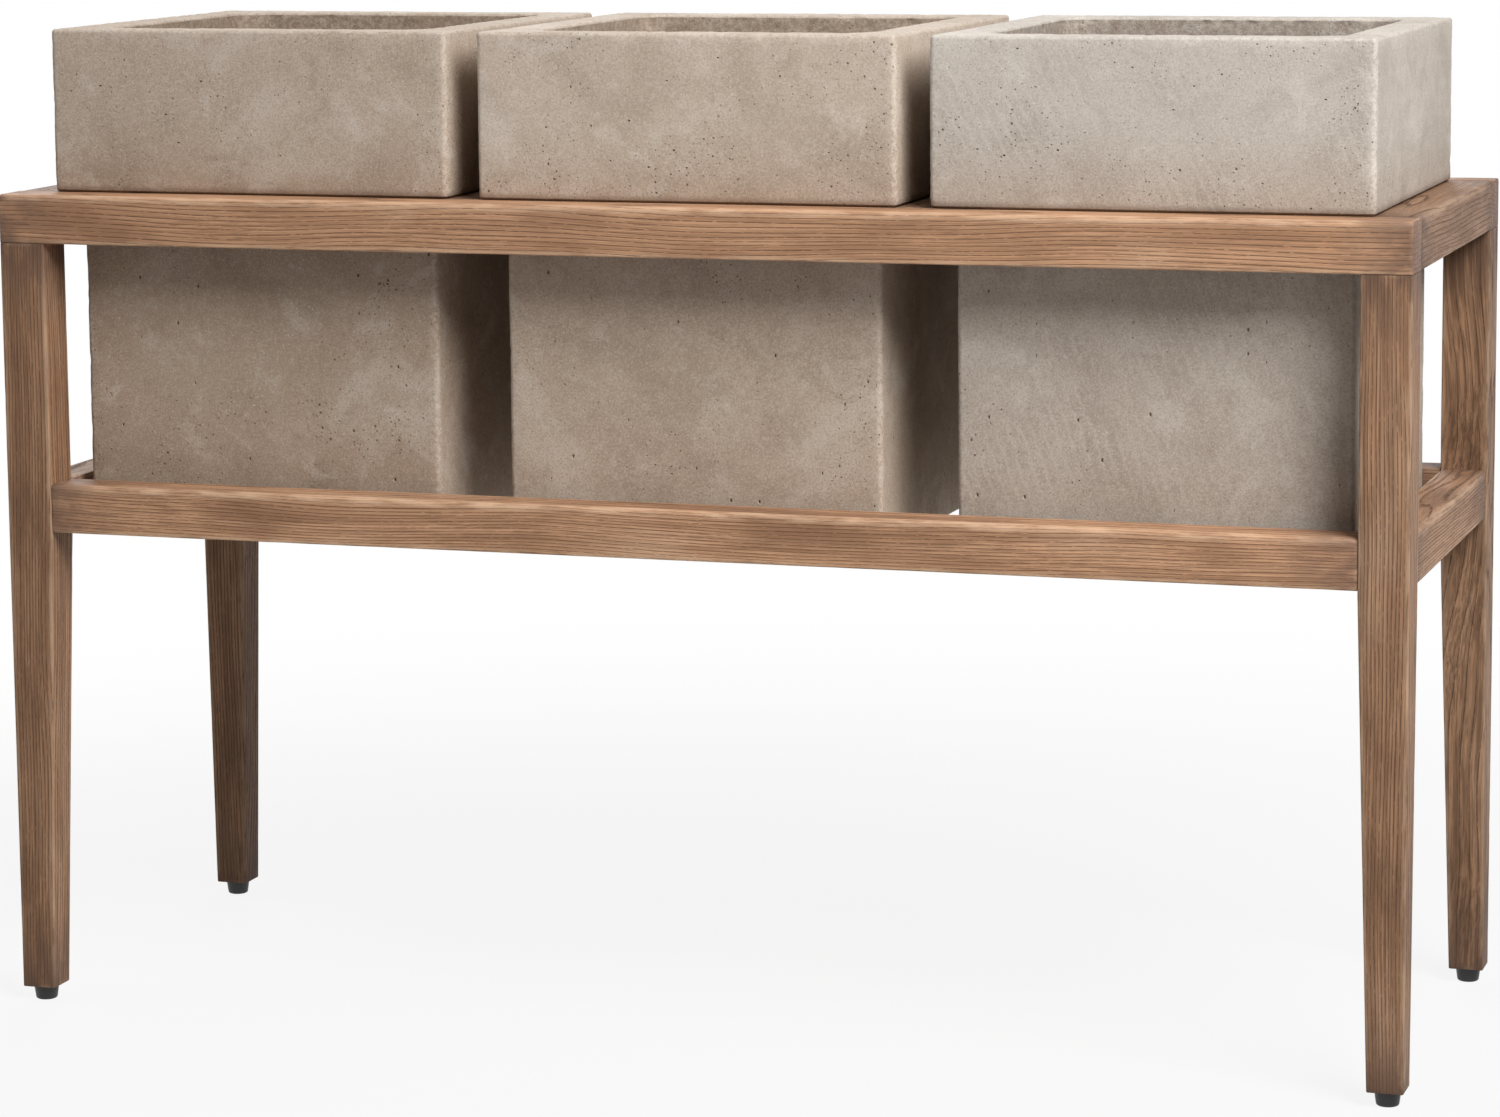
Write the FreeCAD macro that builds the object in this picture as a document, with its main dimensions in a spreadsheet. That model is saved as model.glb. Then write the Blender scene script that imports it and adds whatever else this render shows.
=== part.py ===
import FreeCAD, Part
import math
import os
import Sketcher

# Planter on legs: three cast concrete pots hang by their collars in a wooden stand.
# Millimetres. X runs along the row of pots, Y from the front to the back, Z up.
# The origin is on the floor, under the middle of the stand.

# Driving dimensions: name, size, meaning.
SIZES = (
    ("pot_opening_length", 388.0, "clear length of the frame opening for one pot"),
    ("pot_opening_depth", 388.0, "clear depth of the frame opening for one pot"),
    ("stand_height", 780.0, "floor to the top of the frame that carries the pots"),
    ("rail_width", 45.0, "width of the long and end rails of the top frame"),
    ("rail_height", 46.0, "height of every rail of the top frame"),
    ("cross_rail_width", 42.0, "width of the two short rails between the pots"),
    ("rail_round", 4.5, "radius of the outer top edges of the rails"),
    ("wood_arris", 1.5, "radius of the other long edges of the rails and legs"),
    ("wood_end_arris", 1.0, "radius of the edges at the sawn ends"),
    ("leg_width", 45.0, "side of the square part of a leg"),
    ("leg_foot_width", 33.0, "side of a leg at its foot, after the taper"),
    ("lower_rail_top", 505.0, "floor to the top of the lower frame"),
    ("lower_rail_height", 46.0, "height of the lower rails"),
    ("lower_rail_width", 42.0, "width of the lower rails"),
    ("lower_rail_setback", 1.5, "lower rails behind the outer faces of the legs"),
    ("taper_drop", 4.0, "straight leg left below the lower rails before the taper"),
    ("leg_dowel_diameter", 10.0, "dowels between leg and top rail"),
    ("leg_dowel_inset", 15.0, "leg dowels from the outer faces of the leg"),
    ("rail_dowel_diameter", 8.0, "dowels in the ends of the rails"),
    ("rail_dowel_spacing", 22.0, "between the two dowels of one rail end"),
    ("rail_dowel_drop", 13.0, "dowel axis below the top of the top rails"),
    ("rail_dowel_depth", 24.0, "dowel depth on each side of a top rail joint"),
    ("dowel_web", 3.0, "wood left between crossing dowel bores"),
    ("dowel_clearance", 0.1, "gap between a dowel and its bore, all round"),
    ("dowel_end_gap", 1.0, "room left at the bottom of a dowel bore"),
    ("glide_height", 14.0, "height of the black glide under each leg"),
    ("glide_top_diameter", 24.0, "glide where it meets the leg"),
    ("glide_bottom_diameter", 19.5, "glide where it meets the floor"),
    ("glide_edge_round", 2.0, "radius of the lower edge of a glide"),
    ("screw_head_diameter", 8.5, "head of the glide screw"),
    ("screw_head_height", 3.0, "height of that head"),
    ("screw_shank_diameter", 4.0, "shank of the glide screw"),
    ("screw_length", 30.0, "shank length, point included"),
    ("screw_point", 4.0, "length of the point"),
    ("screw_clearance", 0.3, "gap round the head and shank of the glide screw"),
    ("screw_seat_height", 7.0, "floor to the seat of the screw head in the glide"),
    ("pot_collar_bearing", 6.0, "collar overlap on the rails, each side"),
    ("pot_clearance", 14.0, "gap between a pot body and the rails, each side"),
    ("pot_collar_height", 154.0, "collar height above the frame"),
    ("pot_body_drop", 316.0, "body depth below the frame top"),
    ("pot_wall", 38.0, "wall thickness at the rim"),
    ("pot_floor", 32.0, "thickness of the pot floor"),
    ("pot_cavity_draw_in", 10.0, "draught of each cavity wall from rim to floor"),
    ("pot_collar_corner", 5.0, "radius of the upright collar corners"),
    ("pot_body_corner", 5.0, "radius of the upright body corners"),
    ("pot_rim_round", 3.5, "radius of the outer rim edge"),
    ("pot_rim_inner_round", 3.0, "radius of the inner rim edge"),
    ("pot_lower_round", 2.5, "radius of the lower collar and body edges"),
    ("pot_cavity_corner", 26.0, "radius of the upright cavity corners"),
    ("pot_cavity_floor_round", 12.0, "radius between cavity wall and floor"),
    ("pot_drain_diameter", 22.0, "drain hole in the pot floor"),
)

doc = FreeCAD.newDocument("PlanterOnLegs")
sheet = doc.addObject("Spreadsheet::Sheet", "Sizes")
for row, (alias, value, meaning) in enumerate(SIZES, start=1):
    sheet.set("A%d" % row, alias)
    sheet.set("B%d" % row, str(value))
    sheet.set("C%d" % row, meaning)
    sheet.setAlias("B%d" % row, alias)
doc.recompute()

# Lengths that follow from the driving dimensions.
FRAME_LENGTH = "(3 * Sizes.pot_opening_length + 2 * Sizes.cross_rail_width + 2 * Sizes.rail_width)"
FRAME_DEPTH = "(Sizes.pot_opening_depth + 2 * Sizes.rail_width)"
POT_PITCH = "(Sizes.pot_opening_length + Sizes.cross_rail_width)"
RAIL_BASE = "(Sizes.stand_height - Sizes.rail_height)"
LEG_LENGTH = f"({RAIL_BASE} - Sizes.glide_height)"
LOWER_BASE = "(Sizes.lower_rail_top - Sizes.lower_rail_height)"
LOWER_LONG = f"({FRAME_LENGTH} - 2 * Sizes.leg_width)"
LOWER_SHORT = f"({FRAME_DEPTH} - 2 * Sizes.leg_width)"
LOWER_CENTRE = "(Sizes.lower_rail_setback + Sizes.lower_rail_width / 2)"
RAIL_DOWEL_BORE = "(Sizes.rail_dowel_diameter + 2 * Sizes.dowel_clearance)"
LEG_DOWEL_BORE = "(Sizes.leg_dowel_diameter + 2 * Sizes.dowel_clearance)"
RAIL_DOWEL_HEIGHT = "(Sizes.rail_height - Sizes.rail_dowel_drop)"
LEG_DOWEL_DEPTH = f"({RAIL_DOWEL_HEIGHT} - {RAIL_DOWEL_BORE} / 2 - Sizes.dowel_web)"
LOWER_DOWEL_DEPTH = f"(Sizes.leg_width - {LOWER_CENTRE} - {RAIL_DOWEL_BORE} / 2 - Sizes.dowel_web)"
LEG_DOWEL_FAR = "(Sizes.leg_width - Sizes.leg_dowel_inset)"
LEG_DOWEL_PLACES = (("Sizes.leg_dowel_inset", LEG_DOWEL_FAR), (LEG_DOWEL_FAR, "Sizes.leg_dowel_inset"))
LOWER_DOWEL_HEIGHT = f"({LOWER_BASE} + Sizes.lower_rail_height / 2)"
COLLAR_LENGTH = "(Sizes.pot_opening_length + 2 * Sizes.pot_collar_bearing)"
COLLAR_DEPTH = "(Sizes.pot_opening_depth + 2 * Sizes.pot_collar_bearing)"
MOUTH_LENGTH = f"({COLLAR_LENGTH} - 2 * Sizes.pot_wall)"
MOUTH_DEPTH = f"({COLLAR_DEPTH} - 2 * Sizes.pot_wall)"
FLOOR_LENGTH = f"({MOUTH_LENGTH} - 2 * Sizes.pot_cavity_draw_in)"
FLOOR_DEPTH = f"({MOUTH_DEPTH} - 2 * Sizes.pot_cavity_draw_in)"
BODY_LENGTH = "(Sizes.pot_opening_length - 2 * Sizes.pot_clearance)"
BODY_DEPTH = "(Sizes.pot_opening_depth - 2 * Sizes.pot_clearance)"
HALF_LENGTH = f"({FRAME_LENGTH} / 2)"
HALF_DEPTH = f"({FRAME_DEPTH} / 2)"
FOOT_X = f"({HALF_LENGTH} - Sizes.leg_foot_width / 2)"
FOOT_Y = f"({HALF_DEPTH} - Sizes.leg_foot_width / 2)"

SAME = 1e-4
parts = []


def new_body(label, x="0", y="0", z="0", turn=0.0):
    """A sub-part, turned about Z and placed at x, y, z."""
    body = doc.addObject("PartDesign::Body", label)
    body.Label = label
    body.AllowCompound = True
    body.Placement = FreeCAD.Placement(FreeCAD.Vector(), FreeCAD.Rotation(FreeCAD.Vector(0, 0, 1), turn))
    for axis, place in zip("xyz", (x, y, z)):
        body.setExpression("Placement.Base." + axis, place)
    parts.append(body)
    return body


def new_sketch(body, name, plane, offset="0", shift="0"):
    """A sketch on one of the body's own planes, offset along its normal and shifted along its x."""
    sketch = body.newObject("Sketcher::SketchObject", name)
    support = next(o for o in body.Origin.OriginFeatures if o.Role == plane)
    sketch.AttachmentSupport = [(support, "")]
    sketch.MapMode = "FlatFace"
    sketch.setExpression("AttachmentOffset.Base.z", offset)
    sketch.setExpression("AttachmentOffset.Base.x", shift)
    return sketch


def bind(sketch, constraint, name, expression):
    """Add a dimension to a sketch and tie it to an expression of the sheet."""
    index = sketch.addConstraint(constraint)
    sketch.renameConstraint(index, name)
    sketch.setExpression("Constraints." + name, expression)


def place_vertex(sketch, geometry, end, name, x, y):
    """Dimension one vertex from the sketch origin."""
    drawn = sketch.getPoint(geometry, end)
    bind(sketch, Sketcher.Constraint("DistanceX", -1, 1, geometry, end, drawn.x), name + "_x", x)
    bind(sketch, Sketcher.Constraint("DistanceY", -1, 1, geometry, end, drawn.y), name + "_y", y)


def draw_polygon(sketch, corners):
    """A closed outline through the given corners, each dimensioned from the origin."""
    count = len(corners)
    ring = [FreeCAD.Vector(i * i, 3.0 * i, 0) for i in range(count)]
    for i in range(count):
        sketch.addGeometry(Part.LineSegment(ring[i], ring[(i + 1) % count]), False)
    for i in range(count):
        sketch.addConstraint(Sketcher.Constraint("Coincident", i, 2, (i + 1) % count, 1))
    for i, (x, y) in enumerate(corners):
        place_vertex(sketch, i, 1, "corner%d" % i, x, y)


def draw_rectangle(sketch, x_low, y_low, x_high, y_high):
    """An upright rectangle between two corners."""
    draw_polygon(sketch, ((x_low, y_low), (x_high, y_low), (x_high, y_high), (x_low, y_high)))


def draw_rounded_rectangle(sketch, x_low, y_low, x_high, y_high, radius):
    """An upright rectangle between two corners, with its four corners rounded."""
    left = f"({x_low} + {radius})"
    right = f"({x_high} - {radius})"
    bottom = f"({y_low} + {radius})"
    top = f"({y_high} - {radius})"
    lines = (((left, y_low), (right, y_low)), ((x_high, bottom), (x_high, top)),
             ((right, y_high), (left, y_high)), ((x_low, top), (x_low, bottom)))
    arc_middles = (right, right, left, left)
    drawn_lines = (((2, 0), (8, 0)), ((10, 2), (10, 8)), ((8, 10), (2, 10)), ((0, 8), (0, 2)))
    drawn_middles = ((8, 2), (8, 8), (2, 8), (2, 2))
    for i, (begin, end) in enumerate(drawn_lines):
        sketch.addGeometry(Part.LineSegment(FreeCAD.Vector(*begin, 0), FreeCAD.Vector(*end, 0)), False)
        circle = Part.Circle(FreeCAD.Vector(*drawn_middles[i], 0), FreeCAD.Vector(0, 0, 1), 2.0)
        sketch.addGeometry(Part.ArcOfCircle(circle, math.radians(90 * i - 90), math.radians(90 * i)), False)
    for i in range(8):
        sketch.addConstraint(Sketcher.Constraint("Coincident", i, 2, (i + 1) % 8, 1))
    for i, (begin, end) in enumerate(lines):
        place_vertex(sketch, 2 * i, 1, "begin%d" % i, *begin)
        place_vertex(sketch, 2 * i, 2, "end%d" % i, *end)
        arc = 2 * i + 1
        drawn = sketch.getPoint(arc, 3)
        bind(sketch, Sketcher.Constraint("DistanceX", -1, 1, arc, 3, drawn.x), "middle%d" % i, arc_middles[i])


def draw_circles(sketch, diameter, centres):
    """Equal circles at the given centres."""
    for i, (x, y) in enumerate(centres):
        drawn = Part.Circle(FreeCAD.Vector(9.0 * i, 0, 0), FreeCAD.Vector(0, 0, 1), 1.0)
        index = sketch.addGeometry(drawn, False)
        place_vertex(sketch, index, 3, "centre%d" % i, x, y)
        bind(sketch, Sketcher.Constraint("Diameter", index, 2.0), "diameter%d" % i, diameter)


def pad(body, sketch, length, both_ways=False):
    """Extrude a sketch along its normal, or equally to both sides."""
    feature = body.newObject("PartDesign::Pad", sketch.Name + "Pad")
    feature.Profile = sketch
    feature.Midplane = both_ways
    feature.setExpression("Length", length)
    doc.recompute()
    return feature


def pocket(body, sketch, depth=None, along_normal=False):
    """Cut a sketch into the body, against its normal by default; no depth means right through."""
    before = body.Shape.Volume
    feature = body.newObject("PartDesign::Pocket", sketch.Name + "Pocket")
    feature.Profile = sketch
    feature.Reversed = along_normal
    if depth is None:
        feature.Type = "ThroughAll"
    else:
        feature.setExpression("Length", depth)
    doc.recompute()
    if not body.Shape.Volume < before:
        raise RuntimeError(sketch.Name + " cuts nothing")
    return feature


def loft(body, kind, name, begin, end):
    """Join two outlines by straight lines, adding to the body or cutting from it."""
    feature = body.newObject(kind, name)
    feature.Profile = begin
    feature.Sections = [end]
    feature.Ruled = True
    doc.recompute()
    return feature


def round_edges(body, name, radius, wanted):
    """Round the edges of the body that the test picks; it sees an edge's box and the body's box."""
    base = body.Tip
    whole = base.Shape.BoundBox
    edges = ["Edge%d" % (i + 1) for i, e in enumerate(base.Shape.Edges) if wanted(e.BoundBox, whole)]
    feature = body.newObject("PartDesign::Fillet", name)
    feature.Base = (base, edges)
    feature.setExpression("Radius", radius)
    doc.recompute()
    return feature


def at(edge_low, edge_high, level):
    """True where an edge lies in one plane at the given level."""
    return abs(edge_low - level) < SAME and abs(edge_high - level) < SAME


def along_x(edge):
    return edge.YLength < SAME and edge.ZLength < SAME


def at_rail_end(edge, whole):
    return at(edge.XMin, edge.XMax, whole.XMin) or at(edge.XMin, edge.XMax, whole.XMax)


def outer_top(edge, whole):
    return along_x(edge) and at(edge.YMin, edge.YMax, whole.YMin) and at(edge.ZMin, edge.ZMax, whole.ZMax)


def beside_round(edge, whole):
    """True for the two long edges that the round-over along the outer top edge leaves behind."""
    outer = whole.YMin + sheet.rail_round + SAME
    upper = whole.ZMax - sheet.rail_round - SAME
    return edge.YMax < outer and edge.ZMin > upper


def pair(middle):
    """The two dowel places of one rail end, at equal distances from a middle."""
    return (f"({middle} - Sizes.rail_dowel_spacing / 2)", f"({middle} + Sizes.rail_dowel_spacing / 2)")


def mirrored(places):
    """The same places on both sides of zero."""
    return tuple(f"-({place})" for place in places) + tuple(places)


def rail_blank(label, length, width, height, rounded, **place):
    """A rail with eased edges along its own X: outer face at y = 0, underside at z = 0."""
    body = new_body(label, **place)
    section = new_sketch(body, label + "_section", "YZ_Plane")
    draw_rectangle(section, "0", "0", width, height)
    pad(body, section, length, both_ways=True)
    if rounded:
        round_edges(body, label + "_top_round", "Sizes.rail_round", outer_top)
    round_edges(body, label + "_arris", "Sizes.wood_arris",
                lambda edge, whole: along_x(edge) and not (rounded and beside_round(edge, whole)))
    round_edges(body, label + "_end_arris", "Sizes.wood_end_arris", at_rail_end)
    return body


def short_rail(label, length, width, height, dowels, bore_depth, rounded=True, **place):
    """A rail with dowel bores in both ends."""
    body = rail_blank(label, length, width, height, rounded, **place)
    for side, sign, along_normal in (("right", "", False), ("left", "-", True)):
        end = new_sketch(body, f"{label}_{side}_bores", "YZ_Plane", offset=f"{sign}{length} / 2")
        draw_circles(end, RAIL_DOWEL_BORE, dowels)
        pocket(body, end, bore_depth, along_normal)
    return body


def long_top_rail(label, short_rail_dowels, y, turn):
    """A rail over two legs, with bores for the legs below and for the short rails in its inner face."""
    body = rail_blank(label, FRAME_LENGTH, "Sizes.rail_width", "Sizes.rail_height", True,
                      y=y, z=RAIL_BASE, turn=turn)
    leg_bores = new_sketch(body, label + "_leg_bores", "XY_Plane")
    places = [(x, y_from_face) for from_end, y_from_face in LEG_DOWEL_PLACES
              for x in mirrored((f"{HALF_LENGTH} - {from_end}",))]
    draw_circles(leg_bores, LEG_DOWEL_BORE, places)
    pocket(body, leg_bores, LEG_DOWEL_DEPTH, along_normal=True)
    rail_bores = new_sketch(body, label + "_rail_bores", "XZ_Plane", offset="-Sizes.rail_width")
    draw_circles(rail_bores, RAIL_DOWEL_BORE, [(x, RAIL_DOWEL_HEIGHT) for x in short_rail_dowels])
    pocket(body, rail_bores, "Sizes.rail_dowel_depth", along_normal=True)
    return body


def leg(label, x, y, turn):
    """A leg whose own +X and +Y faces look inwards; those two faces taper below the lower rails."""
    body = new_body(label, x, y, "Sizes.glide_height", turn)
    taper_start = f"({LOWER_BASE} - Sizes.taper_drop - Sizes.glide_height)"
    foot = new_sketch(body, label + "_foot", "XY_Plane")
    draw_rounded_rectangle(foot, "0", "0", "Sizes.leg_foot_width", "Sizes.leg_foot_width", "Sizes.wood_arris")
    knee = new_sketch(body, label + "_knee", "XY_Plane", offset=taper_start)
    draw_rounded_rectangle(knee, "0", "0", "Sizes.leg_width", "Sizes.leg_width", "Sizes.wood_arris")
    loft(body, "PartDesign::AdditiveLoft", label + "_taper", foot, knee)
    pad(body, knee, f"{LEG_LENGTH} - {taper_start}")
    round_edges(body, label + "_foot_arris", "Sizes.wood_end_arris", lambda e, w: at(e.ZMin, e.ZMax, w.ZMin))
    top = new_sketch(body, label + "_dowel_bores", "XY_Plane", offset=LEG_LENGTH)
    draw_circles(top, LEG_DOWEL_BORE, LEG_DOWEL_PLACES)
    pocket(body, top, LEG_DOWEL_DEPTH)
    bores = [(LOWER_CENTRE, z) for z in pair(f"({LOWER_DOWEL_HEIGHT} - Sizes.glide_height)")]
    for side, plane, offset, along_normal in (("side", "YZ_Plane", "Sizes.leg_width", False),
                                              ("back", "XZ_Plane", "-Sizes.leg_width", True)):
        inner = new_sketch(body, f"{label}_{side}_bores", plane, offset=offset)
        draw_circles(inner, RAIL_DOWEL_BORE, bores)
        pocket(body, inner, LOWER_DOWEL_DEPTH, along_normal=along_normal)
    pilot = new_sketch(body, label + "_pilot", "XY_Plane")
    middle = "Sizes.leg_foot_width / 2"
    draw_circles(pilot, "(Sizes.screw_shank_diameter + 2 * Sizes.dowel_clearance)", ((middle, middle),))
    pilot_depth = "(Sizes.screw_seat_height + Sizes.screw_length + Sizes.dowel_end_gap - Sizes.glide_height)"
    pocket(body, pilot, pilot_depth, along_normal=True)
    return body


def turned(body, name, outline, shift="0", offset="0"):
    """Turn an outline of radii and heights round the upright axis of its sketch."""
    sketch = new_sketch(body, name, "XZ_Plane", offset=offset, shift=shift)
    draw_polygon(sketch, outline)
    feature = body.newObject("PartDesign::Revolution", name + "Turned")
    feature.Profile = sketch
    feature.ReferenceAxis = (sketch, ["V_Axis"])
    feature.Angle = 360.0
    doc.recompute()
    return feature


def glide(label, x, y):
    """A tapered foot with a sunk seat for its screw."""
    body = new_body(label, x, y)
    hole = "(Sizes.screw_shank_diameter / 2 + Sizes.screw_clearance)"
    recess = "(Sizes.screw_head_diameter / 2 + Sizes.screw_clearance)"
    outline = ((hole, "Sizes.screw_seat_height"), (recess, "Sizes.screw_seat_height"), (recess, "0"),
               ("Sizes.glide_bottom_diameter / 2", "0"),
               ("Sizes.glide_top_diameter / 2", "Sizes.glide_height"), (hole, "Sizes.glide_height"))
    turned(body, label + "_outline", outline)
    recess_width = sheet.screw_head_diameter + 2 * sheet.screw_clearance
    round_edges(body, label + "_edge", "Sizes.glide_edge_round",
                lambda e, w: at(e.ZMin, e.ZMax, w.ZMin) and e.XLength > recess_width + SAME)
    return body


def dowel_row(body, name, plane, offset, diameter, depth, centres):
    """Dowels with equal lengths on both sides of a joint plane."""
    sketch = new_sketch(body, name, plane, offset=offset)
    draw_circles(sketch, diameter, centres)
    return pad(body, sketch, f"2 * ({depth} - Sizes.dowel_end_gap)", both_ways=True)


def centred_outline(body, name, level, length, depth, corner):
    """A rounded outline about the pot's upright axis, at a level."""
    sketch = new_sketch(body, name, "XY_Plane", offset=level)
    draw_rounded_rectangle(sketch, f"-{length} / 2", f"-{depth} / 2", f"{length} / 2", f"{depth} / 2", corner)
    return sketch


def reach(edge):
    """How far an edge reaches from the upright axis of a pot, along X and Y."""
    return max(abs(edge.XMin), abs(edge.XMax)), max(abs(edge.YMin), abs(edge.YMax))


def outside_opening(edge):
    """True for the edges of a pot that lie out over the rails."""
    x, y = reach(edge)
    return x > sheet.pot_opening_length / 2 or y > sheet.pot_opening_depth / 2


def in_mouth(edge):
    """True for the edges round the mouth of a pot."""
    x, y = reach(edge)
    inset = sheet.pot_wall - sheet.pot_collar_bearing - SAME
    return x < sheet.pot_opening_length / 2 - inset and y < sheet.pot_opening_depth / 2 - inset


def pot(label, x):
    """A cast pot: collar above z = 0, body below it, drawn-in cavity, drain in the floor."""
    body = new_body(label, x, z="Sizes.stand_height")
    lower = centred_outline(body, label + "_body", "-Sizes.pot_body_drop", BODY_LENGTH, BODY_DEPTH,
                            "Sizes.pot_body_corner")
    pad(body, lower, "Sizes.pot_body_drop")
    round_edges(body, label + "_body_foot", "Sizes.pot_lower_round", lambda e, w: at(e.ZMin, e.ZMax, w.ZMin))
    upper = centred_outline(body, label + "_collar", "0", COLLAR_LENGTH, COLLAR_DEPTH,
                            "Sizes.pot_collar_corner")
    pad(body, upper, "Sizes.pot_collar_height")
    round_edges(body, label + "_rim", "Sizes.pot_rim_round", lambda e, w: at(e.ZMin, e.ZMax, w.ZMax))
    round_edges(body, label + "_collar_foot", "Sizes.pot_lower_round",
                lambda e, w: at(e.ZMin, e.ZMax, 0.0) and outside_opening(e))
    floor_level = "Sizes.pot_floor - Sizes.pot_body_drop"
    mouth = centred_outline(body, label + "_mouth", "Sizes.pot_collar_height", MOUTH_LENGTH, MOUTH_DEPTH,
                            "Sizes.pot_cavity_corner")
    floor = centred_outline(body, label + "_floor", floor_level, FLOOR_LENGTH, FLOOR_DEPTH,
                            "Sizes.pot_cavity_corner")
    loft(body, "PartDesign::SubtractiveLoft", label + "_cavity", mouth, floor)
    floor_z = sheet.pot_floor - sheet.pot_body_drop
    round_edges(body, label + "_cavity_floor", "Sizes.pot_cavity_floor_round",
                lambda e, w: at(e.ZMin, e.ZMax, floor_z))
    round_edges(body, label + "_inner_rim", "Sizes.pot_rim_inner_round",
                lambda e, w: at(e.ZMin, e.ZMax, w.ZMax) and in_mouth(e))
    drain = new_sketch(body, label + "_drain", "XY_Plane", offset=floor_level)
    draw_circles(drain, "Sizes.pot_drain_diameter", (("0", "0"),))
    pocket(body, drain, "Sizes.pot_floor")
    return body


# Top frame, with dowels where the end rails and cross rails meet the long rails.
end_rail_dowels = mirrored(pair(f"({HALF_LENGTH} - Sizes.rail_width / 2)"))
cross_rail_dowels = mirrored(pair(f"({POT_PITCH} / 2)"))
long_top_rail("top_front_rail", end_rail_dowels + cross_rail_dowels, f"-{HALF_DEPTH}", 0)
long_top_rail("top_back_rail", end_rail_dowels + cross_rail_dowels, HALF_DEPTH, 180)
cross_rail_face = f"({POT_PITCH} / 2 + Sizes.cross_rail_width / 2)"
for label, width, rounded, x, turn in (
        ("top_left_rail", "Sizes.rail_width", True, f"-{HALF_LENGTH}", -90),
        ("top_right_rail", "Sizes.rail_width", True, HALF_LENGTH, 90),
        ("top_cross_rail_left", "Sizes.cross_rail_width", False, f"-{cross_rail_face}", -90),
        ("top_cross_rail_right", "Sizes.cross_rail_width", False, cross_rail_face, 90)):
    dowels = [(y, RAIL_DOWEL_HEIGHT) for y in pair(width + " / 2")]
    short_rail(label, "Sizes.pot_opening_depth", width, "Sizes.rail_height", dowels,
               "Sizes.rail_dowel_depth", rounded, x=x, z=RAIL_BASE, turn=turn)

# Legs, each a quarter turn from the last, and their glides.
CORNERS = (("front_left", "-", "-", 0), ("front_right", "", "-", 90), ("back_right", "", "", 180),
           ("back_left", "-", "", 270))
for corner, x_sign, y_sign, turn in CORNERS:
    leg("leg_" + corner, x_sign + HALF_LENGTH, y_sign + HALF_DEPTH, turn)
    glide("glide_" + corner, x_sign + FOOT_X, y_sign + FOOT_Y)

# Lower frame.
lower_x = f"({HALF_LENGTH} - Sizes.lower_rail_setback)"
lower_y = f"({HALF_DEPTH} - Sizes.lower_rail_setback)"
lower_dowel_heights = pair("Sizes.lower_rail_height / 2")
for label, length, x, y, turn in (("lower_front_rail", LOWER_LONG, "0", "-" + lower_y, 0),
                                  ("lower_back_rail", LOWER_LONG, "0", lower_y, 180),
                                  ("lower_left_rail", LOWER_SHORT, "-" + lower_x, "0", -90),
                                  ("lower_right_rail", LOWER_SHORT, lower_x, "0", 90)):
    dowels = [("Sizes.lower_rail_width / 2", z) for z in lower_dowel_heights]
    short_rail(label, length, "Sizes.lower_rail_width", "Sizes.lower_rail_height", dowels,
               LOWER_DOWEL_DEPTH, x=x, y=y, z=LOWER_BASE, turn=turn)

# Dowels, one group for each kind of joint.
leg_dowels = new_body("leg_dowels", z=RAIL_BASE)
places = [(f"{x_sign}({HALF_LENGTH} - {from_end})", f"{y_sign}({HALF_DEPTH} - {from_face})")
          for corner, x_sign, y_sign, turn in CORNERS for from_end, from_face in LEG_DOWEL_PLACES]
dowel_row(leg_dowels, "leg_dowel_pins", "XY_Plane", "0", "Sizes.leg_dowel_diameter", LEG_DOWEL_DEPTH, places)

for label, across in (("end_rail_dowels", end_rail_dowels), ("cross_rail_dowels", cross_rail_dowels)):
    group = new_body(label, z=RAIL_BASE)
    places = [(x, RAIL_DOWEL_HEIGHT) for x in across]
    for side, sign in (("front", ""), ("back", "-")):
        dowel_row(group, f"{label}_{side}", "XZ_Plane", sign + "Sizes.pot_opening_depth / 2",
                  "Sizes.rail_dowel_diameter", "Sizes.rail_dowel_depth", places)

group = new_body("lower_rail_dowels", z=LOWER_BASE)
for side, plane, half, offset in (("left", "YZ_Plane", HALF_DEPTH, f"-{LOWER_LONG} / 2"),
                                  ("right", "YZ_Plane", HALF_DEPTH, f"{LOWER_LONG} / 2"),
                                  ("front", "XZ_Plane", HALF_LENGTH, f"{LOWER_SHORT} / 2"),
                                  ("back", "XZ_Plane", HALF_LENGTH, f"-{LOWER_SHORT} / 2")):
    across = mirrored((f"{half} - {LOWER_CENTRE}",))
    places = [(place, z) for place in across for z in lower_dowel_heights]
    dowel_row(group, "lower_dowels_" + side, plane, offset, "Sizes.rail_dowel_diameter",
              LOWER_DOWEL_DEPTH, places)

# Screws that hold the glides: a head, a shank and a point.
screws = new_body("glide_screws")
seat = "Sizes.screw_seat_height"
head_low = f"({seat} - Sizes.screw_head_height)"
head_radius = "Sizes.screw_head_diameter / 2"
shank_radius = "Sizes.screw_shank_diameter / 2"
tip = f"({seat} + Sizes.screw_length)"
screw_outline = (("0", head_low), (head_radius, head_low), (head_radius, seat), (shank_radius, seat),
                 (shank_radius, f"{tip} - Sizes.screw_point"), ("0", tip))
for corner, x_sign, y_sign, turn in CORNERS:
    y_offset = FOOT_Y if y_sign else f"-{FOOT_Y}"
    turned(screws, "screw_" + corner, screw_outline, shift=x_sign + FOOT_X, offset=y_offset)

# Pots.
for label, x in (("pot_left", f"-{POT_PITCH}"), ("pot_middle", "0"), ("pot_right", POT_PITCH)):
    pot(label, x)

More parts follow.
